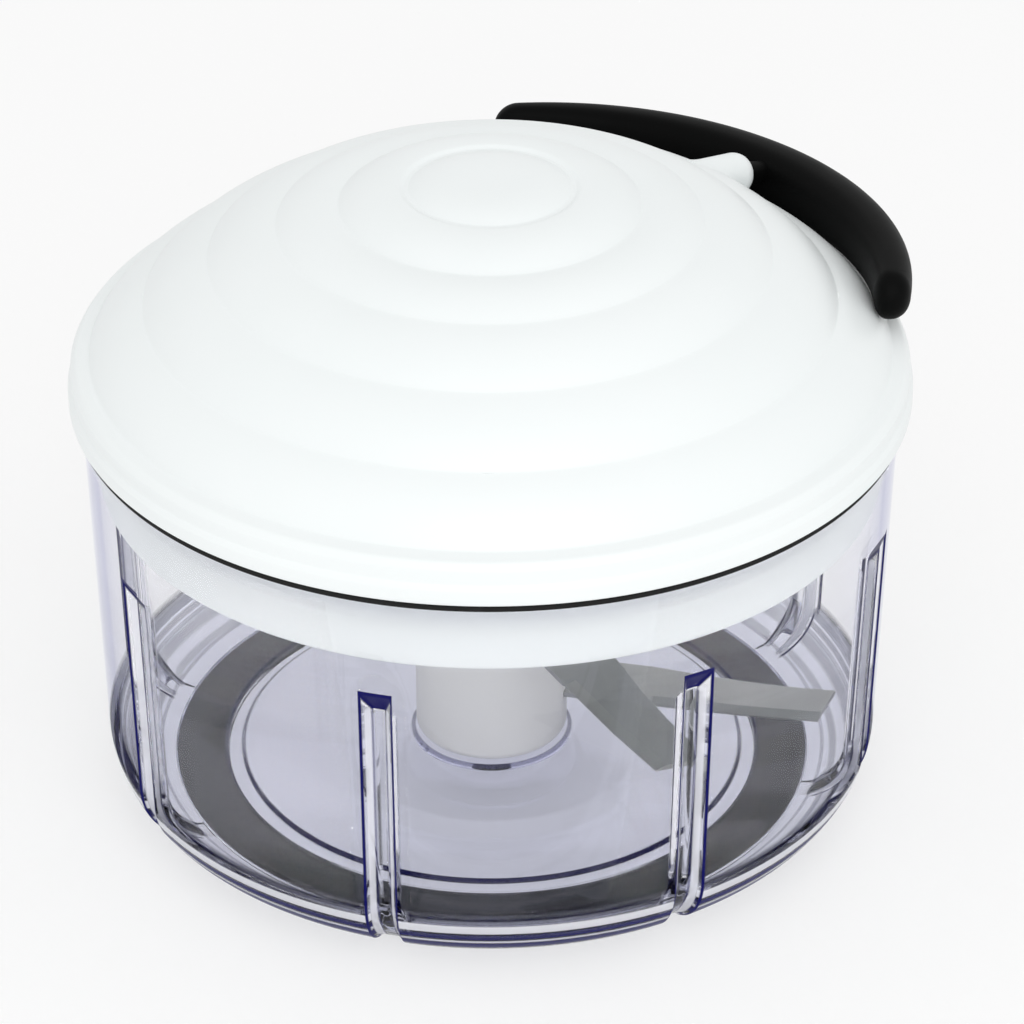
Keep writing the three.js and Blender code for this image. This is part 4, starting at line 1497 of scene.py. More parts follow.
@dataclass
class Blade:
    """One flat blade: where it is in the stack, and the shape that all three share."""

    name: str
    azimuth: float
    height: float
    tip: float = 67.0
    thickness: float = 1.0
    bevel: float = 2.2
    edge_left: float = 0.25
    root: float = 4.2
    edge_shares: tuple[Point, ...] = (
        (0.2, -0.02),
        (0.47, -0.021),
        (0.475, -0.016),
        (0.75, -0.012),
        (0.972, 0.002),
    )
    back_shares: tuple[Point, ...] = (
        (0.2, 0.174),
        (0.45, 0.172),
        (0.62, 0.156),
        (0.78, 0.149),
        (0.9, 0.15),
        (1.0, 0.157),
    )
    tang_shares: Point = (0.012, 0.145)
    tang_bevel: float = 0.15
    tang_end: float = 0.05
    stations: int = 64
    ease: float = 0.12
    ground_from: float = 0.46
    ground_run: float = 0.015
    ground_least: float = 0.07
    sharp: float = math.radians(12)

    def along(self, shares: Sequence[Point], count: int) -> np.ndarray:
        """Even points along an edge.

        Args:
            shares: the edge's corners as shares of the tip radius.
            count: how many points.

        Returns:
            The points, one row each.
        """
        points = np.array(shares) * self.tip
        run = np.concatenate([[0], np.cumsum(np.linalg.norm(np.diff(points, axis=0), axis=1))])
        places = np.linspace(0, run[-1], count)
        return np.stack([np.interp(places, run, points[:, 0]), np.interp(places, run, points[:, 1])], axis=1)

    def section(self, edge: Sequence[float], back: Sequence[float], bevel: float) -> np.ndarray:
        """One section of the blade.

        Args:
            edge: the point on its cutting edge.
            back: the point on its back.
            bevel: how far the ground bevel reaches from the edge.

        Returns:
            The section's points.
        """
        low, high = self.height - self.thickness / 2, self.height + self.thickness / 2
        across = np.array(back) - np.array(edge)
        width = np.linalg.norm(across)
        inner = np.array(edge) + across * bevel / width
        edge_top = high - (self.thickness - self.edge_left) * bevel / self.bevel
        near_back = np.array(back) - across * self.ease / width
        return np.array(
            [
                [*edge, low],
                [*edge, edge_top],
                [*inner, high],
                [*near_back, high],
                [*back, high - self.ease],
                [*back, low + self.ease],
                [*near_back, low],
            ]
        )

    def build(self, finish: Material) -> Object:
        """Builds and dresses the blade.

        Args:
            finish: its material.

        Returns:
            The blade.
        """
        edge = self.along(self.edge_shares, self.stations)
        back = self.along(self.back_shares, self.stations)
        tang = np.array(self.tang_shares) * self.tip
        ends = (self.root, edge[0][0] - self.tang_end)
        rings = [self.section((end, tang[0]), (end, tang[1]), self.tang_bevel) for end in ends]
        for near, far in zip(edge, back):
            share = (near[0] - self.ground_from * self.tip) / (self.ground_run * self.tip)
            rings.append(self.section(near, far, self.bevel * min(1.0, max(self.ground_least, share))))
        made = loft(self.name + "_ground", rings, sharp=self.sharp)
        placed(made, Matrix.Rotation(math.radians(self.azimuth), 4, "Z"))
        return dress(made, finish, Body.BLADES, [self.name])


@dataclass
class BladeUnit:
    """The white hub with its stack of three blades."""

    radius: float = 14.9
    neck_radius: float = 12.4
    bottom: float = 8.5
    neck: float = 46.5
    shoulder: float = 2.0
    top: float = 71.0
    socket_flats: float = 10.6
    socket_floor: float = 58.0
    bore: float = 2.75
    bore_top: float = 24.5
    slot_play: float = 0.25
    over: float = 4.0
    colour: Colour = (0.36, 0.366, 0.36)
    stain: Colour = (0.3, 0.305, 0.3)
    blades: tuple[Blade, ...] = (
        Blade("blade_upper", -62.0, 36.0),
        Blade("blade_middle", 143.0, 26.5),
        Blade("blade_lower", -12.0, 17.5),
    )

    def slot(self, blade: Blade) -> Object:
        """The slot that a blade's tang sits in.

        Args:
            blade: the blade.

        Returns:
            The shape to cut out.
        """
        sides = [share[1] * blade.tip for share in (*blade.edge_shares, *blade.back_shares)]
        near, far = blade.root - self.slot_play, self.radius + self.over
        left, right = min(sides) - self.slot_play, max(sides) + self.slot_play
        half = blade.thickness / 2 + self.slot_play
        outline = np.array([[near, left], [far, left], [far, right], [near, right]])
        rings = [np.column_stack([outline, np.full(4, blade.height + lift)]) for lift in (-half, half)]
        return placed(loft("slot", rings), Matrix.Rotation(math.radians(blade.azimuth), 4, "Z"))

    def build(self, white: Material) -> None:
        """Builds and dresses the hub and its blades.

        Args:
            white: the hub's material, paler than the dome's as painted light that offsets the lid's shade on
                the hub.
        """
        section = [
            (0, self.bottom),
            (self.radius, self.bottom, 1.8),
            (self.radius, self.neck - self.shoulder, 0.8),
            (self.neck_radius, self.neck, 0.8),
            (self.neck_radius, self.top, 0.9),
            (0, self.top),
        ]
        hub = lathe("turning_hub", section, 160)
        tools = [self.slot(blade) for blade in self.blades]
        tools.append(post("bore", self.bore, self.bottom - self.over, self.bore_top))
        corner = self.socket_flats / 2 / math.cos(math.pi / 6)
        socket = post("socket", corner, self.socket_floor, self.top + self.over, 6)
        tools.append(placed(socket, Matrix.Rotation(math.pi / 6, 4, "Z")))
        dress(cut(hub, tools), white, Body.BLADES, ["blade_hub"])
        for blade in self.blades:
            along = math.radians(90 - blade.azimuth)
            grind = Steel("ground_" + blade.name, self.colour, self.stain, turn=along)
            blade.build(grind.material())


@dataclass
class Screws:
    """A set of like screws on a circle, made pointing up from the middle of the underside of the head."""

    name: str
    stem: str
    count: int
    place: float
    seat: float
    head: float
    head_height: float
    shank: float
    length: float
    upwards: bool
    first: float = 0.0
    sides: int = 28
    head_edge: float = 0.08
    thread_pitch: float = 0.55
    thread_depth: float = 0.25
    thread_rise: float = 0.18
    thread_from: float = 0.9
    plain_turns: int = 3
    cross_reach: float = 0.58
    cross_width: float = 0.32
    cross_taper: Point = (0.55, 0.7)
    cross_floor: float = 0.3

    def plain(self) -> Object:
        """One screw without its cross: a domed head, a shank and its thread."""
        root = self.shank - self.thread_depth
        thread = []
        for k in range(int(self.length / self.thread_pitch) - self.plain_turns):
            z = self.thread_from + k * self.thread_pitch
            crest, end = z + self.thread_rise, z + 2 * self.thread_rise
            thread += [(root, z), (self.shank, crest), (root, end)]
        high = self.head_height
        section = [
            (0, -high),
            (self.head * 0.8, -high, high * 0.7),
            (self.head, -high * 0.35, high * 0.3),
            (self.head, 0, self.head_edge),
            (root, 0),
            *thread,
            (0, self.length),
        ]
        return lathe("single_screw", section, self.sides)

    def arm(self, turn: float) -> Object:
        """One tapered arm of the cross recess, turned by an angle in degrees."""
        wide, thin = self.head * self.cross_reach, self.head * self.cross_width * 0.5
        outline = np.array([[-wide, -thin], [wide, -thin], [wide, thin], [-wide, thin]])
        tip = outline * np.array(self.cross_taper)
        places = ((outline, -self.head_height - 0.5), (tip, -self.head_height * self.cross_floor))
        rings = [np.column_stack([ring, np.full(4, height)]) for ring, height in places]
        return placed(loft("cross", rings), Matrix.Rotation(math.radians(turn), 4, "Z"))

    def build(self, copies: RadialCopies, finish: Material) -> Object:
        """Builds one screw with its cross recess, and copies it round the axis.

        Args:
            copies: the tree that copies it.
            finish: the screws' material.

        Returns:
            The dressed screws.
        """
        single = cut(self.plain(), [self.arm(turn) for turn in (0, 90)])
        flip = Matrix.Identity(4) if self.upwards else Matrix.Rotation(math.pi, 4, "X")
        placed(single, Matrix.Translation((0, 0, self.seat)) @ flip)
        made = copies.copy(single, self.count, self.place, self.first, finish)
        made.name = self.name
        nodes = [f"{self.stem}{k + 1}" for k in range(self.count)]
        return dress(made, finish, Body.LID, nodes)


@dataclass
class LidBase:
    """The white plate with its skirt, bearing and spring cup, and the black seal under it."""

    radius: float = 78.0
    skirt_top: float = 75.3
    skirt_bottom: float = 74.84
    skirt_wall: float = 1.9
    skirt_depth: float = 16.5
    bore: float = 6.25
    bearing: float = 9.05
    bearing_length: float = 10.5
    cup_inner: float = 24.5
    cup_outer: float = 26.3
    cup_top: float = 95.1
    lug_radius: float = 2.8
    lug_place: float = 28.0
    lug_foot: float = 0.3
    lug_hole: float = 1.2
    lug_hole_depth: float = 5.0
    lugs: int = 3
    first_lug: float = 100.0
    screw_place: float = 62.0
    screw_hole: float = 1.6
    screws: int = 4
    over: float = 4.0
    hole_sides: int = 24
    columns: int = 256
    seal_outer: float = 79.2
    seal_lip: Point = (0.8, 0.5)

    def plate(self) -> Object:
        """The plate with everything that is moulded in one with it, and its screw holes."""
        low, high = LEVELS.plate_bottom, LEVELS.plate_top
        bottom = low - self.skirt_depth
        section = [
            (self.bore, low - self.bearing_length, 0.4),
            (self.bearing, low - self.bearing_length, 0.6),
            (self.bearing, low, 1.2),
            (self.skirt_top - self.skirt_wall, low, 1.0),
            (self.skirt_bottom - self.skirt_wall, bottom, 0.6),
            (self.skirt_bottom, bottom, 0.8),
            (self.skirt_top, low, 0.3),
            (self.radius, low, 0.4),
            (self.radius, high, 0.4),
            (self.cup_outer, high, 0.8),
            (self.cup_outer, self.cup_top, 0.3),
            (self.cup_inner, self.cup_top, 0.3),
            (self.cup_inner, high, 0.5),
            (self.bore, high, 0.3),
        ]
        base = lathe("skirted_base", section, self.columns, closed=True)
        top, over, sides = self.cup_top, self.over, self.hole_sides

        def lug() -> Object:
            """One lug of the spring cup."""
            return post("lug", self.lug_radius, low + self.lug_foot, top)

        def lug_hole() -> Object:
            """The hole in a lug."""
            return post("hole", self.lug_hole, top - self.lug_hole_depth, top + over, sides)

        def screw_hole() -> Object:
            """The hole for one of the dome's screws."""
            return post("hole", self.screw_hole, low - over, high + over, sides)

        lugs = around(lug, self.lugs, self.first_lug, self.lug_place)
        holes = around(lug_hole, self.lugs, self.first_lug, self.lug_place)
        holes += around(screw_hole, self.screws, 0, self.screw_place)
        return cut(cut(base, lugs, "UNION"), holes)

    def seal(self) -> Object:
        """The seal between the plate and the bowl's rim."""
        inner, outer = self.skirt_top + LEVELS.gap, self.seal_outer
        foot, top = LEVELS.bowl_rim + LEVELS.gap, LEVELS.plate_bottom - LEVELS.gap
        section = [
            (inner, foot, 0.2),
            (outer - self.seal_lip[0], foot, 0.2),
            (outer, foot + self.seal_lip[1], 0.4),
            (outer, top, 0.4),
            (inner, top, 0.2),
        ]
        return lathe("black_seal", section, self.columns, closed=True)

    def build(self, white: Material, rubber: Material) -> None:
        """Builds and dresses the base and the seal.

        Args:
            white: the base's material.
            rubber: the seal's material.
        """
        dress(self.plate(), white, Body.LID, ["lid_base"])
        dress(self.seal(), rubber, Body.LID, ["lid_seal"])


@dataclass
class Dome:
    """The stepped white dome with its cord nozzle, and the wear bush in the nozzle."""

    creases: tuple[Point, ...] = (
        (16.9, 127.7),
        (28.3, 123.9),
        (40.0, 120.3),
        (52.9, 113.6),
        (65.3, 104.5),
        (75.8, 94.6),
    )
    crease_fillet: float = 0.8
    bulge: float = 1.15
    band_steps: int = 14
    wall: float = 2.2
    inner_in: float = 1.2
    disc: float = 14.5
    disc_top: float = 129.2
    disc_edge: float = 1.6
    disc_power: float = 4.5
    groove_width: float = 1.7
    groove_depth: float = 0.5
    rim: float = 80.0
    rim_steps: tuple[tuple[float, float, float], ...] = (
        (-1.6, 94.0, 1.2),
        (-0.6, 92.6, 0.8),
        (-0.7, 89.9, 0.5),
        (-0.25, 89.2, 0.25),
        (0.0, 88.7, 0.4),
        (0.0, 85.7, 0.6),
    )
    foot: Point = (-1.7, 85.7)
    rebate: float = 88.2
    rebate_in: float = 1.1
    rebate_top: float = 89.9
    boss: Point = (1.6, 3.6)
    boss_top: float = 104.5
    boss_place: float = 62.0
    bosses: int = 4
    nozzle_radius: float = 4.5
    nozzle_edge: float = 2.6
    nozzle_lip: float = 0.12
    nozzle_back: float = 16.0
    nozzle_back_radius: float = 3.1
    nozzle_blend: float = 0.9
    nozzle_spread: float = 11.0
    nozzle_sides: int = 96
    nozzle_rows: int = 60
    nozzle_cut: float = 26.0
    halvings: int = 26
    sunk: float = 0.05
    bore: float = 2.75
    bush_bore: float = 1.7
    bush_radius: float = 2.6
    bush_length: float = 12.2

    def outside(self) -> list[Point]:
        """The dome's outside from its middle to its foot."""
        first = self.creases[0]
        floor = first[1] - self.groove_depth
        shares = np.linspace(0, 1, 15)
        corners = [(self.disc * s, self.disc_top - self.disc_edge * s**self.disc_power) for s in shares]
        corners += [
            (first[0] - self.groove_width, floor, 0.5),
            (first[0] - self.groove_width / 2, floor, 0.5),
            (*first, 0.9),
        ]
        for start, end in zip(self.creases, self.creases[1:]):
            chord = Vector(end) - Vector(start)
            out = Vector((-chord.y, chord.x)).normalized()
            for k in range(1, self.band_steps):
                share = k / self.band_steps
                place = Vector(start) + chord * share + out * self.bulge * 4 * share * (1 - share)
                corners.append(tuple(place))
            corners.append((*end, self.crease_fillet))
        corners += [(self.rim + aside, height, fillet) for aside, height, fillet in self.rim_steps]
        return rounded([*corners, (self.rim + self.foot[0], self.foot[1])])

    def inside(self) -> list[Point]:
        """The dome's inside from its foot to its middle."""
        foot, top = self.rim + self.foot[0], self.disc_top - self.wall
        inner = [(r - self.inner_in, z - self.wall, 1.5) for r, z in reversed(self.creases)]
        corners = [
            (foot, self.foot[1]),
            (foot, self.rebate, 0.2),
            (foot - self.rebate_in, self.rebate, 0.2),
            (foot - self.rebate_in, self.rebate_top, 1.0),
            *inner,
            (self.disc - self.wall, top, 1.0),
            (0, top),
        ]
        return rounded(corners)[1:]

    @staticmethod
    def beyond(profile: np.ndarray, r: np.ndarray, z: np.ndarray) -> np.ndarray:
        """Signed distance from a profile that runs outwards and down: positive above it.

        Args:
            profile: its points, one row each.
            r: radii of the places.
            z: heights of the places.

        Returns:
            The distances in millimetres.
        """
        start, step = profile[:-1], np.diff(profile, axis=0)
        away = np.stack([r, z], axis=-1)[..., None, :] - start
        share = np.clip((away * step).sum(-1) / (step**2).sum(-1), 0, 1)
        nearest = away - share[..., None] * step
        distance = np.linalg.norm(nearest, axis=-1)
        best = distance.argmin(-1)
        picked = np.take_along_axis(nearest, best[..., None, None], axis=-2)[..., 0, :]
        normal = np.stack([-step[:, 1], step[:, 0]], axis=1)[best]
        side = np.sign((picked * normal).sum(-1))
        return side * distance.min(-1)

    def flared(self, profile: np.ndarray, along: np.ndarray, turns: np.ndarray) -> np.ndarray:
        """How far from its axis the nozzle's skin lies, where it flows into the dome.

        Args:
            profile: the dome's outside.
            along: distances out of the mouth, one for each row.
            turns: angles round the axis, one for each column.

        Returns:
            Radii, one row for each distance.
        """
        matrix = np.array(NOZZLE.matrix())
        directions = np.stack([np.cos(turns), np.sin(turns), np.zeros_like(turns)], axis=1)
        taper = (self.nozzle_radius - self.nozzle_back_radius) / self.nozzle_back
        plain = (self.nozzle_radius + taper * along)[:, None]
        low = np.zeros((len(along), len(turns)))
        high = np.full_like(low, self.nozzle_spread)
        for _ in range(self.halvings):
            middle = (low + high) / 2
            local = directions[None] * middle[..., None] + np.array([0, 0, 1]) * along[:, None, None]
            world = local @ matrix[:3, :3].T + matrix[:3, 3]
            dome = self.beyond(profile, np.hypot(world[..., 0], world[..., 1]), world[..., 2]) + self.sunk
            inside = least(dome, middle - plain, self.nozzle_blend) < 0
            low, high = np.where(inside, middle, low), np.where(inside, high, middle)
        return low

    def nozzle(self, profile: np.ndarray) -> Object:
        """The nozzle with its flared foot, its rounded mouth and its bore.

        Args:
            profile: the dome's outside.

        Returns:
            The nozzle.
        """
        count, edge, lip = self.nozzle_sides, self.nozzle_edge, self.nozzle_lip
        turns = np.arange(count) * TAU / count
        along = np.linspace(-self.nozzle_back, -edge, self.nozzle_rows)
        radii = self.flared(profile, along, turns)
        inner = self.bore + lip
        mouth = arc((inner, -edge), (radii[-1].min() - inner, edge), 0, 90, 10)[1:]
        fold = arc((inner, -lip), (lip, lip), 90, 180, 4)[1:]
        rows = [*zip(radii, along), *mouth, *fold, (self.bore, -self.nozzle_back)]
        rings = [np.column_stack([r * np.cos(turns), r * np.sin(turns), np.full(count, s)]) for r, s in rows]
        return placed(loft("nozzle", rings, closed=True), NOZZLE.matrix())

    def bush(self) -> Object:
        """The wear bush in the nozzle's mouth."""
        back = -self.bush_length
        section = [
            (self.bush_bore, 0, 0.3),
            (self.bush_radius, 0, 0.2),
            (self.bush_radius, back, 0.2),
            (self.bush_radius - 0.3, back, 0.1),
            (self.bush_bore, 3 + back, 1.0),
        ]
        return placed(lathe("wear_bush", section, 48, closed=True), NOZZLE.matrix())

    def build(self, white: Material, ivory: Material) -> None:
        """Builds and dresses the dome and the bush.

        Args:
            white: the dome's material.
            ivory: the bush's material.
        """
        outside = self.outside()
        shell = turned("stepped_dome", [*outside, *self.inside()], 288)

        def boss() -> Object:
            """One tube for a screw from below."""
            (inner, outer), low, high = self.boss, self.rebate, self.boss_top
            return turned("boss", [(inner, low), (outer, low), (outer, high), (inner, high)], 32, closed=True)

        bosses = around(boss, self.bosses, 0, self.boss_place)
        bore = post("bore", self.bore - self.sunk, -self.nozzle_cut, -self.nozzle_edge)
        shell = cut(shell, [placed(bore, NOZZLE.matrix())])
        made = joined(shell, [self.nozzle(np.array(outside)), *bosses])
        dress(made, white, Body.LID, ["dome_cover"])
        dress(self.bush(), ivory, Body.LID, ["cord_guide_bush"])


def paint(made: Object, name: str, values: np.ndarray) -> None:
    """Stores one number for each point of a piece, for its material to read.

    Args:
        made: the piece.
        name: the name that the material reads them by.
        values: the numbers in the order of the points.
    """
    made.data.attributes.new(name, "FLOAT", "POINT").data.foreach_set("value", values)


def joined(first: Object, others: Sequence[Object]) -> Object:
    """Puts the meshes of several closed pieces into the first one.

    Args:
        first: the piece that stays.
        others: the pieces that go into it.

    Returns:
        The first piece.
    """
    work = bmesh.new()
    for part in (first, *others):
        work.from_mesh(part.data)
    work.to_mesh(first.data)
    work.free()
    for part in others:
        bpy.data.objects.remove(part)
    smooth(first)
    return first


@dataclass
class Mechanism:
    """The turning parts and the spring under the dome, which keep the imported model's meshes."""

    ivory_nodes: tuple[str, ...] = ("drive_spindle", "cord_pulley", "pulley_flange", "spring_cover")
    steel_nodes: tuple[str, ...] = ("recoil_spring", "retaining_washer", "retaining_screw")

    def build(self, ivory: Material, steel: Material) -> None:
        """Dresses the nodes.

        Args:
            ivory: the plastic parts' material.
            steel: the steel parts' material.
        """
        for names, finish in ((self.ivory_nodes, ivory), (self.steel_nodes, steel)):
            for name in names:
                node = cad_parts[name]
                node.data.materials.clear()
                node.data.materials.append(finish)
                log.info("%s: dressed", name)


@dataclass
class Cord:
    """The pull cord in its three stretches: wound on the pulley, led through the lid, tied in the grip."""

    radius: float = 1.0
    sides: int = 16
    wound_sides: int = 12
    winding: float = 18.9
    lowest: float = 100.7
    pitch: float = 2.5
    turns: float = 4.7
    turn_steps: int = 48
    tail: float = 10.0
    tail_steps: int = 4
    gap: float = 0.3
    guide: float = 11.3
    flare: float = 3.0
    slack: float = 0.6
    run_steps: int = 12
    inside_mouth: float = 6.0
    overlap: float = 1.0
    pull_steps: int = 24
    held_from: float = 8.0
    knot_from: float = 13.2
    knot: float = 2.3
    knot_turns: float = 3.5
    knot_steps: int = 90

    def leaving(self) -> tuple[float, Vector, Vector]:
        """Where the cord leaves the winding: its azimuth, its place and its direction."""
        guide = NOZZLE.point(-self.guide)
        azimuth = math.radians(NOZZLE.azimuth) + math.acos(self.winding / math.hypot(guide.x, guide.y))
        place = Vector((self.winding * math.cos(azimuth), self.winding * math.sin(azimuth), self.lowest))
        return azimuth, place, Vector((math.sin(azimuth), -math.cos(azimuth), 0))

    def wound(self) -> list[Vector]:
        """The helix on the pulley, and its straight tail."""
        azimuth, place, direction = self.leaving()
        count = round(self.turns * self.turn_steps)
        points = []
        for k in range(count + 1):
            left = 1 - k / count
            turn = azimuth + left * self.turns * TAU
            height = self.lowest + left * self.turns * self.pitch
            points.append(Vector((self.winding * math.cos(turn), self.winding * math.sin(turn), height)))
        steps = self.tail_steps
        return [*points, *(place + direction * self.tail * k / steps for k in range(1, steps + 1))]

    def led(self) -> list[Vector]:
        """The run from the pulley to the nozzle's mouth."""
        _, place, direction = self.leaving()
        start = place + direction * (self.tail + self.gap)
        chosen = [
            start,
            start + direction * self.tail / 2,
            start.lerp(NOZZLE.point(-self.guide), self.slack),
            NOZZLE.point(-self.guide + self.flare / 2),
            NOZZLE.point(-self.guide / 2),
            NOZZLE.point(-self.inside_mouth + self.overlap),
        ]
        return catmull(chosen, self.run_steps)

    def pulled(self) -> list[Vector]:
        """The straight stretch from inside the mouth to the knot."""
        length, steps = self.inside_mouth + self.knot_from, self.pull_steps
        return [NOZZLE.point(-self.inside_mouth + length * k / steps) for k in range(steps + 1)]

    def tied(self) -> list[Vector]:
        """The coil that stands for the knot."""
        points = []
        loose = self.knot - self.radius
        for k in range(self.knot_steps):
            share = k / (self.knot_steps - 1)
            swing = math.sin(share * math.pi) * loose
            turn = share * self.knot_turns * TAU
            height = self.knot_from - self.knot + self.radius + share * 2 * loose
            points.append(NOZZLE.matrix() @ Vector((swing * math.cos(turn), swing * math.sin(turn), height)))
        return points

    def build(self, sweep: SweptCord, finish: Material) -> None:
        """Builds and dresses the three stretches and the knot.

        Args:
            sweep: the tree that sweeps them.
            finish: the cord's material.
        """
        winding = sweep.sweep("cord_winding", self.wound(), self.radius, finish, self.wound_sides)
        dress(winding, finish, Body.PULLEY, ["wound_cord"])
        run = sweep.sweep("cord_in_lid", self.led(), self.radius, finish, self.sides)
        dress(run, finish, Body.LID, ["cord_run"])
        pull = sweep.sweep("pull_cord", self.pulled(), self.radius, finish, self.sides)
        pull.data.materials.clear()
        pull.data.materials.append(finish)
        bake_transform(pull)
        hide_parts("pull_cord_end")
        log.info("pull_cord: from %s to %s", Body.LID.value, Body.HANDLE.value)
        knot = sweep.sweep("cord_knot", self.tied(), self.radius, finish, self.wound_sides)
        dress(knot, finish, Body.HANDLE)


def catmull(chosen: Sequence[Vector], steps: int) -> list[Vector]:
    """A smooth route through chosen points, evenly stepped between each two.

    Args:
        chosen: the points.
        steps: steps between two of them.

    Returns:
        The route's points.
    """
    ends = [2 * chosen[0] - chosen[1], *chosen, 2 * chosen[-1] - chosen[-2]]
    route = []
    for a, b, c, d in zip(ends, ends[1:], ends[2:], ends[3:]):
        for k in range(steps):
            t = k / steps
            curve = 2 * b + (c - a) * t + (2 * a - 5 * b + 4 * c - d) * t**2 + (3 * b - a - 3 * c + d) * t**3
            route.append(curve / 2)
    return [*route, chosen[-1]]


@dataclass
class Grip:
    """The black curved grip, and the cap that closes it over the knot."""

    arc_offset: float = 12.6
    arc_radius: float = 66.6
    half_angle: float = 48.0
    end_length: float = 5.0
    middle: tuple[float, ...] = (7.2, 4.9, 6.6, 5.6, 100.3)
    end: tuple[float, ...] = (4.2, 3.0, 5.0, 4.9, 102.0)
    sides: int = 56
    steps: int = 96
    end_steps: int = 12
    hole: float = 1.5
    pocket: float = 3.0
    pocket_from: float = 10.5
    cap: float = 2.7
    cap_from: float = 15.8
    cap_to: float = 40.0
    over: float = 4.0
    square: float = 2.3
    stop: float = 2.3
    stop_edge: float = 0.35
    stop_length: float = 9.0

    def ring(self, angle: float, middle_share: float, size: float) -> np.ndarray:
        """One ring of the grip's skin.

        Args:
            angle: the azimuth round the arc's centre in radians.
            middle_share: 1 in the middle of the grip, 0 at its ends.
            size: the section's scale, under 1 on the rounded ends.

        Returns:
            The ring's points.
        """
        out, back, up, down, height = (e + (m - e) * middle_share for m, e in zip(self.middle, self.end))
        turns = np.arange(self.sides) * TAU / self.sides
        power = 2 / self.square
        across = np.sign(np.cos(turns)) * np.abs(np.cos(turns)) ** power
        above = np.sign(np.sin(turns)) * np.abs(np.sin(turns)) ** power
        reach = self.arc_radius + size * across * np.where(across > 0, out, back)
        lift = size * above * np.where(above > 0, up, down)
        x, y = self.arc_offset + reach * math.cos(angle), reach * math.sin(angle)
        return np.column_stack([x, y, height + lift])

    def build(self, black: Material) -> None:
        """Builds and dresses the grip and its cap.

        Args:
            black: their material.
        """
        half = math.radians(self.half_angle)
        rounding = self.end_length / self.arc_radius
        ends = [math.pi / 2 * k / (self.end_steps + 0.5) for k in range(1, self.end_steps + 1)]
        rings = [self.ring(-half - rounding * math.sin(turn), 0, math.cos(turn)) for turn in reversed(ends)]
        for k in range(self.steps + 1):
            share = 2 * k / self.steps - 1
            rings.append(self.ring(share * half, 1 - share * share, 1))
        rings += [self.ring(half + rounding * math.sin(turn), 0, math.cos(turn)) for turn in ends]
        turn = Matrix.Rotation(math.radians(NOZZLE.azimuth), 4, "Z")
        whole = placed(loft("curved_grip", rings), turn)
        near, far = LEVELS.gap, self.stop_length
        section = [(0, near), (self.stop, near, self.stop_edge), (self.stop, far), (0, far)]
        stop = placed(lathe("stop", section, 48), NOZZLE.matrix())
        copy = whole.copy()
        copy.data = whole.data.copy()
        copy.name = "grip_cap"
        bpy.context.scene.collection.objects.link(copy)
        hole = placed(post("hole", self.hole, -self.over, self.pocket_from + self.over), NOZZLE.matrix())
        pocket = placed(post("pocket", self.pocket, self.pocket_from, self.cap_to), NOZZLE.matrix())
        body = cut(cut(whole, [stop], "UNION"), [hole, pocket])
        dress(body, black, Body.HANDLE, ["handle_grip"])
        rod = placed(post("rod", self.cap, self.cap_from, self.cap_to), NOZZLE.matrix())
        cap = cut(copy, [rod], "INTERSECT")
        dress(cap, black, Body.HANDLE, ["knot_cap"])


# Studio


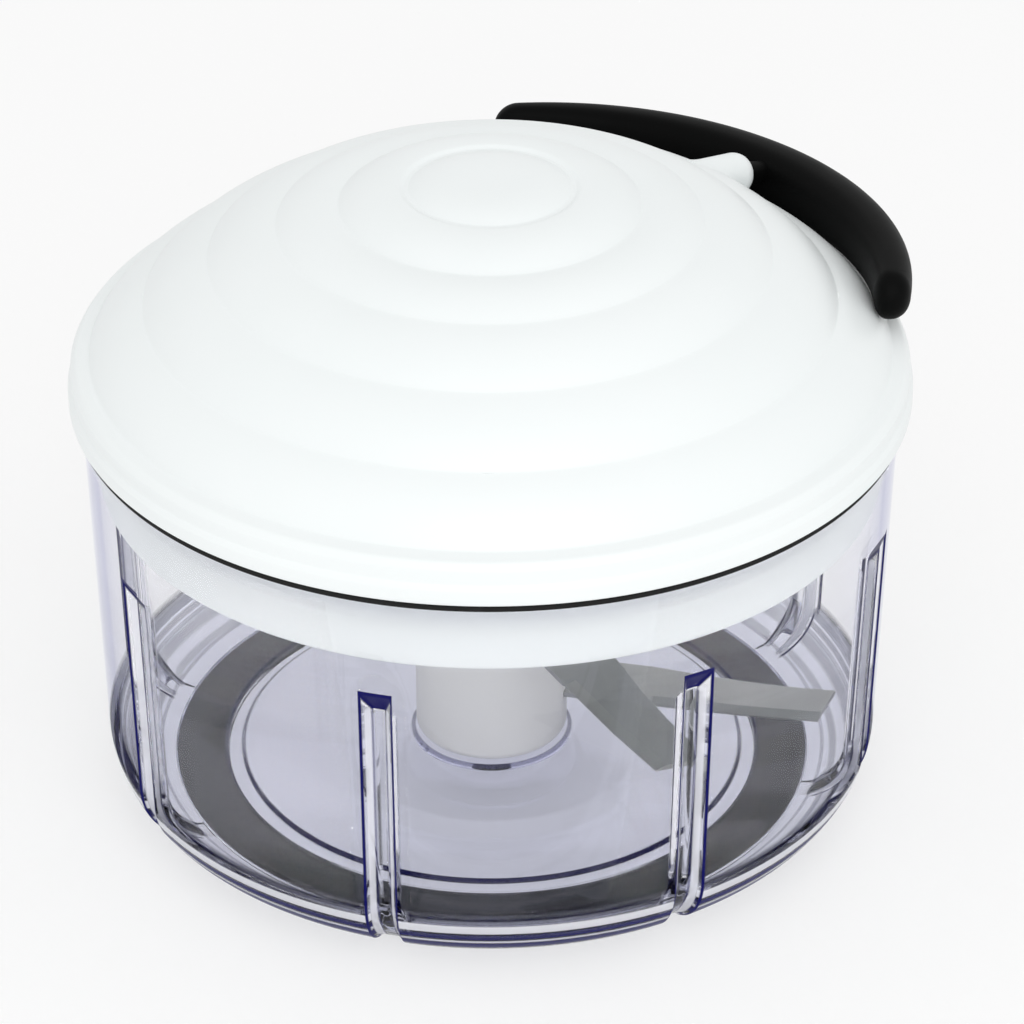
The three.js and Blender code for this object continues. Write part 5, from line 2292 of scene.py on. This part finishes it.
@dataclass
class Studio:
    """A plain white floor, a soft lamp and a white surround. Sizes in metres, power in watts."""

    floor_radius: float = 4.0
    floor_colour: Colour = (1.0, 1.0, 1.0)
    floor_glow: float = 0.6
    floor_sides: int = 96
    white: tuple[float, ...] = (1.0, 1.0, 1.0, 1.0)
    surround: float = 1.0
    ambient: float = 0.77
    aim: tuple[float, ...] = (0.0, 0.0, 0.06)
    key_place: tuple[float, ...] = (0.15, -1.15, 1.0)
    key_size: float = 1.3
    key_power: float = 7.6

    def floor(self) -> None:
        """Lays the floor."""
        mesh = bpy.data.meshes.new("studio_floor")
        work = bmesh.new()
        bmesh.ops.create_circle(work, cap_ends=True, segments=self.floor_sides, radius=self.floor_radius)
        work.to_mesh(mesh)
        work.free()
        floor = bpy.data.objects.new("studio_floor", mesh)
        bpy.context.scene.collection.objects.link(floor)
        shader = Shader("studio_paper")
        paper = shader.node("ShaderNodeBsdfDiffuse", {}, {"Color": (*self.floor_colour, 1.0)})
        glow = shader.node("ShaderNodeEmission", {}, {"Color": self.white, "Strength": 1.0})
        sockets = {0: self.seen(shader) * self.floor_glow, 1: paper.outputs[0], 2: glow.outputs[0]}
        mixed = shader.node("ShaderNodeMixShader", {}, sockets)
        shader.node("ShaderNodeOutputMaterial", {}, {"Surface": mixed.outputs[0]})
        mesh.materials.append(shader.material)

    @staticmethod
    def seen(graph: Graph) -> Value:
        """1 for rays from the camera, from gloss and through clear plastic, and 0 for light's own rays."""
        path = graph.node("ShaderNodeLightPath").outputs
        camera, gloss, clear = (path[f"Is {kind} Ray"] for kind in ("Camera", "Glossy", "Transmission"))
        return graph.math("MAXIMUM", graph.math("MAXIMUM", camera, gloss), clear)

    def world(self) -> None:
        """Sets the surround: white where it is seen, softer where it lights."""
        world = bpy.data.worlds.new("studio_surround")
        bpy.context.scene.world = world
        world.use_nodes = True
        graph = Graph(world.node_tree)
        strength = self.ambient + self.seen(graph) * (self.surround - self.ambient)
        sockets = {"Color": self.white, "Strength": strength}
        background = graph.node("ShaderNodeBackground", {}, sockets).outputs[0]
        graph.node("ShaderNodeOutputWorld", {}, {"Surface": background})

    def lamp(self, name: str, place: Sequence[float], size: float, power: float) -> None:
        """Hangs a square soft lamp that faces the chopper.

        Args:
            name: the lamp's name.
            place: where it hangs, in metres.
            size: its side in metres.
            power: its power in watts.
        """
        light = bpy.data.lights.new(name, "AREA")
        light.shape = "SQUARE"
        light.size = size
        light.energy = power
        lamp = bpy.data.objects.new(name, light)
        lamp.location = place
        aim = Vector(self.aim) - Vector(place)
        lamp.rotation_euler = aim.to_track_quat("-Z", "Y").to_euler()
        bpy.context.scene.collection.objects.link(lamp)

    def build(self) -> None:
        """Builds the studio."""
        self.floor()
        self.world()
        self.lamp("key_lamp", self.key_place, self.key_size, self.key_power)
        bpy.context.scene.view_settings.view_transform = "Standard"


@dataclass
class PhotoCamera:
    """The camera of the photograph."""

    target: tuple[float, float, float] = (4.0525, 0.0, 56.847)
    distance: float = 904.76
    elevation: float = 31.245
    lens: float = 164.53
    sensor: float = 36.0

    def build(self) -> None:
        """Puts the camera in the scene."""
        data = bpy.data.cameras.new("photo_camera")
        data.lens = self.lens
        data.sensor_width = self.sensor
        camera = bpy.data.objects.new("photo_camera", data)
        rise = math.radians(self.elevation)
        away = Vector((0, -math.cos(rise), math.sin(rise))) * self.distance
        camera.location = (Vector(self.target) + away) * MM
        camera.rotation_euler = (math.pi / 2 - rise, 0, 0)
        bpy.context.scene.collection.objects.link(camera)
        bpy.context.scene.camera = camera


def main() -> None:
    """Builds the camera, the studio and every sub-assembly."""
    logging.basicConfig(level=logging.INFO, format="%(message)s")
    PhotoCamera().build()
    Studio().build()
    white = MouldedPlastic("white_moulding", (0.89, 0.925, 0.925), (0.875, 0.912, 0.912), 0.38).material()
    # The hub's white is paler than the dome's: painted light that offsets the lid's shade on the hub.
    hub_white_lightened = MouldedPlastic("hub_moulding_lightened", (0.94, 0.94, 0.925), (0.925, 0.925, 0.91), 0.42).material()
    ivory = MouldedPlastic("ivory_moulding", (0.79, 0.78, 0.72), (0.74, 0.73, 0.67), 0.5).material()
    black = MouldedPlastic(
        "black_moulding",
        colour=(0.004, 0.0042, 0.0042),
        shade=(0.003, 0.0031, 0.0031),
        roughness=0.42,
        refraction=1.1,
        peel=0.5,
        peel_height=0.02,
    ).material()
    clear = ClearPlastic(
        "clear_violet_plastic",
        # tint: the thick foot's violet, deepened with painted shade; edge: painted deep blue shade; gleam:
        # painted white reflection.
        tint=(0.8, 0.81, 0.9),
        pale=(0.97, 0.97, 1.0),
        edge=(0.005, 0.005, 0.1),
        gleam=(0.88, 0.885, 0.94),
        cast=(0.25, 0.27, 0.6),
        density=14.0,
    )
    grey = Rubber("soft_grey_rubber", (0.014, 0.0147, 0.018), (0.026, 0.027, 0.031)).material()
    rubber = Rubber("black_seal_rubber", (0.008, 0.008, 0.008), (0.02, 0.02, 0.02)).material()
    steel = Steel("plain_steel", (0.5, 0.5, 0.49), (0.36, 0.35, 0.33)).material()
    braid = BraidedCord("braided_cord", (0.74, 0.73, 0.68), (0.42, 0.41, 0.37)).material()
    copies, sweep = RadialCopies(), SweptCord()
    Bowl().build(clear, grey, steel)
    BladeUnit().build(hub_white_lightened)
    LidBase().build(white, rubber)
    Dome().build(white, ivory)
    Screws(
        "dome_screws",
        "dome_screw_",
        count=4,
        place=62.0,
        seat=85.4,
        head=3.0,
        head_height=1.5,
        shank=1.3,
        length=12.0,
        upwards=True,
    ).build(copies, steel)
    Screws(
        "cup_screws",
        "spring_cover_screw_",
        count=3,
        place=28.0,
        seat=97.2,
        head=2.0,
        head_height=1.2,
        shank=0.9,
        length=5.0,
        upwards=False,
        first=100.0,
    ).build(copies, steel)
    Mechanism().build(ivory, steel)
    Cord().build(sweep, braid)
    Grip().build(black)


if __name__ == "__main__":
    main()
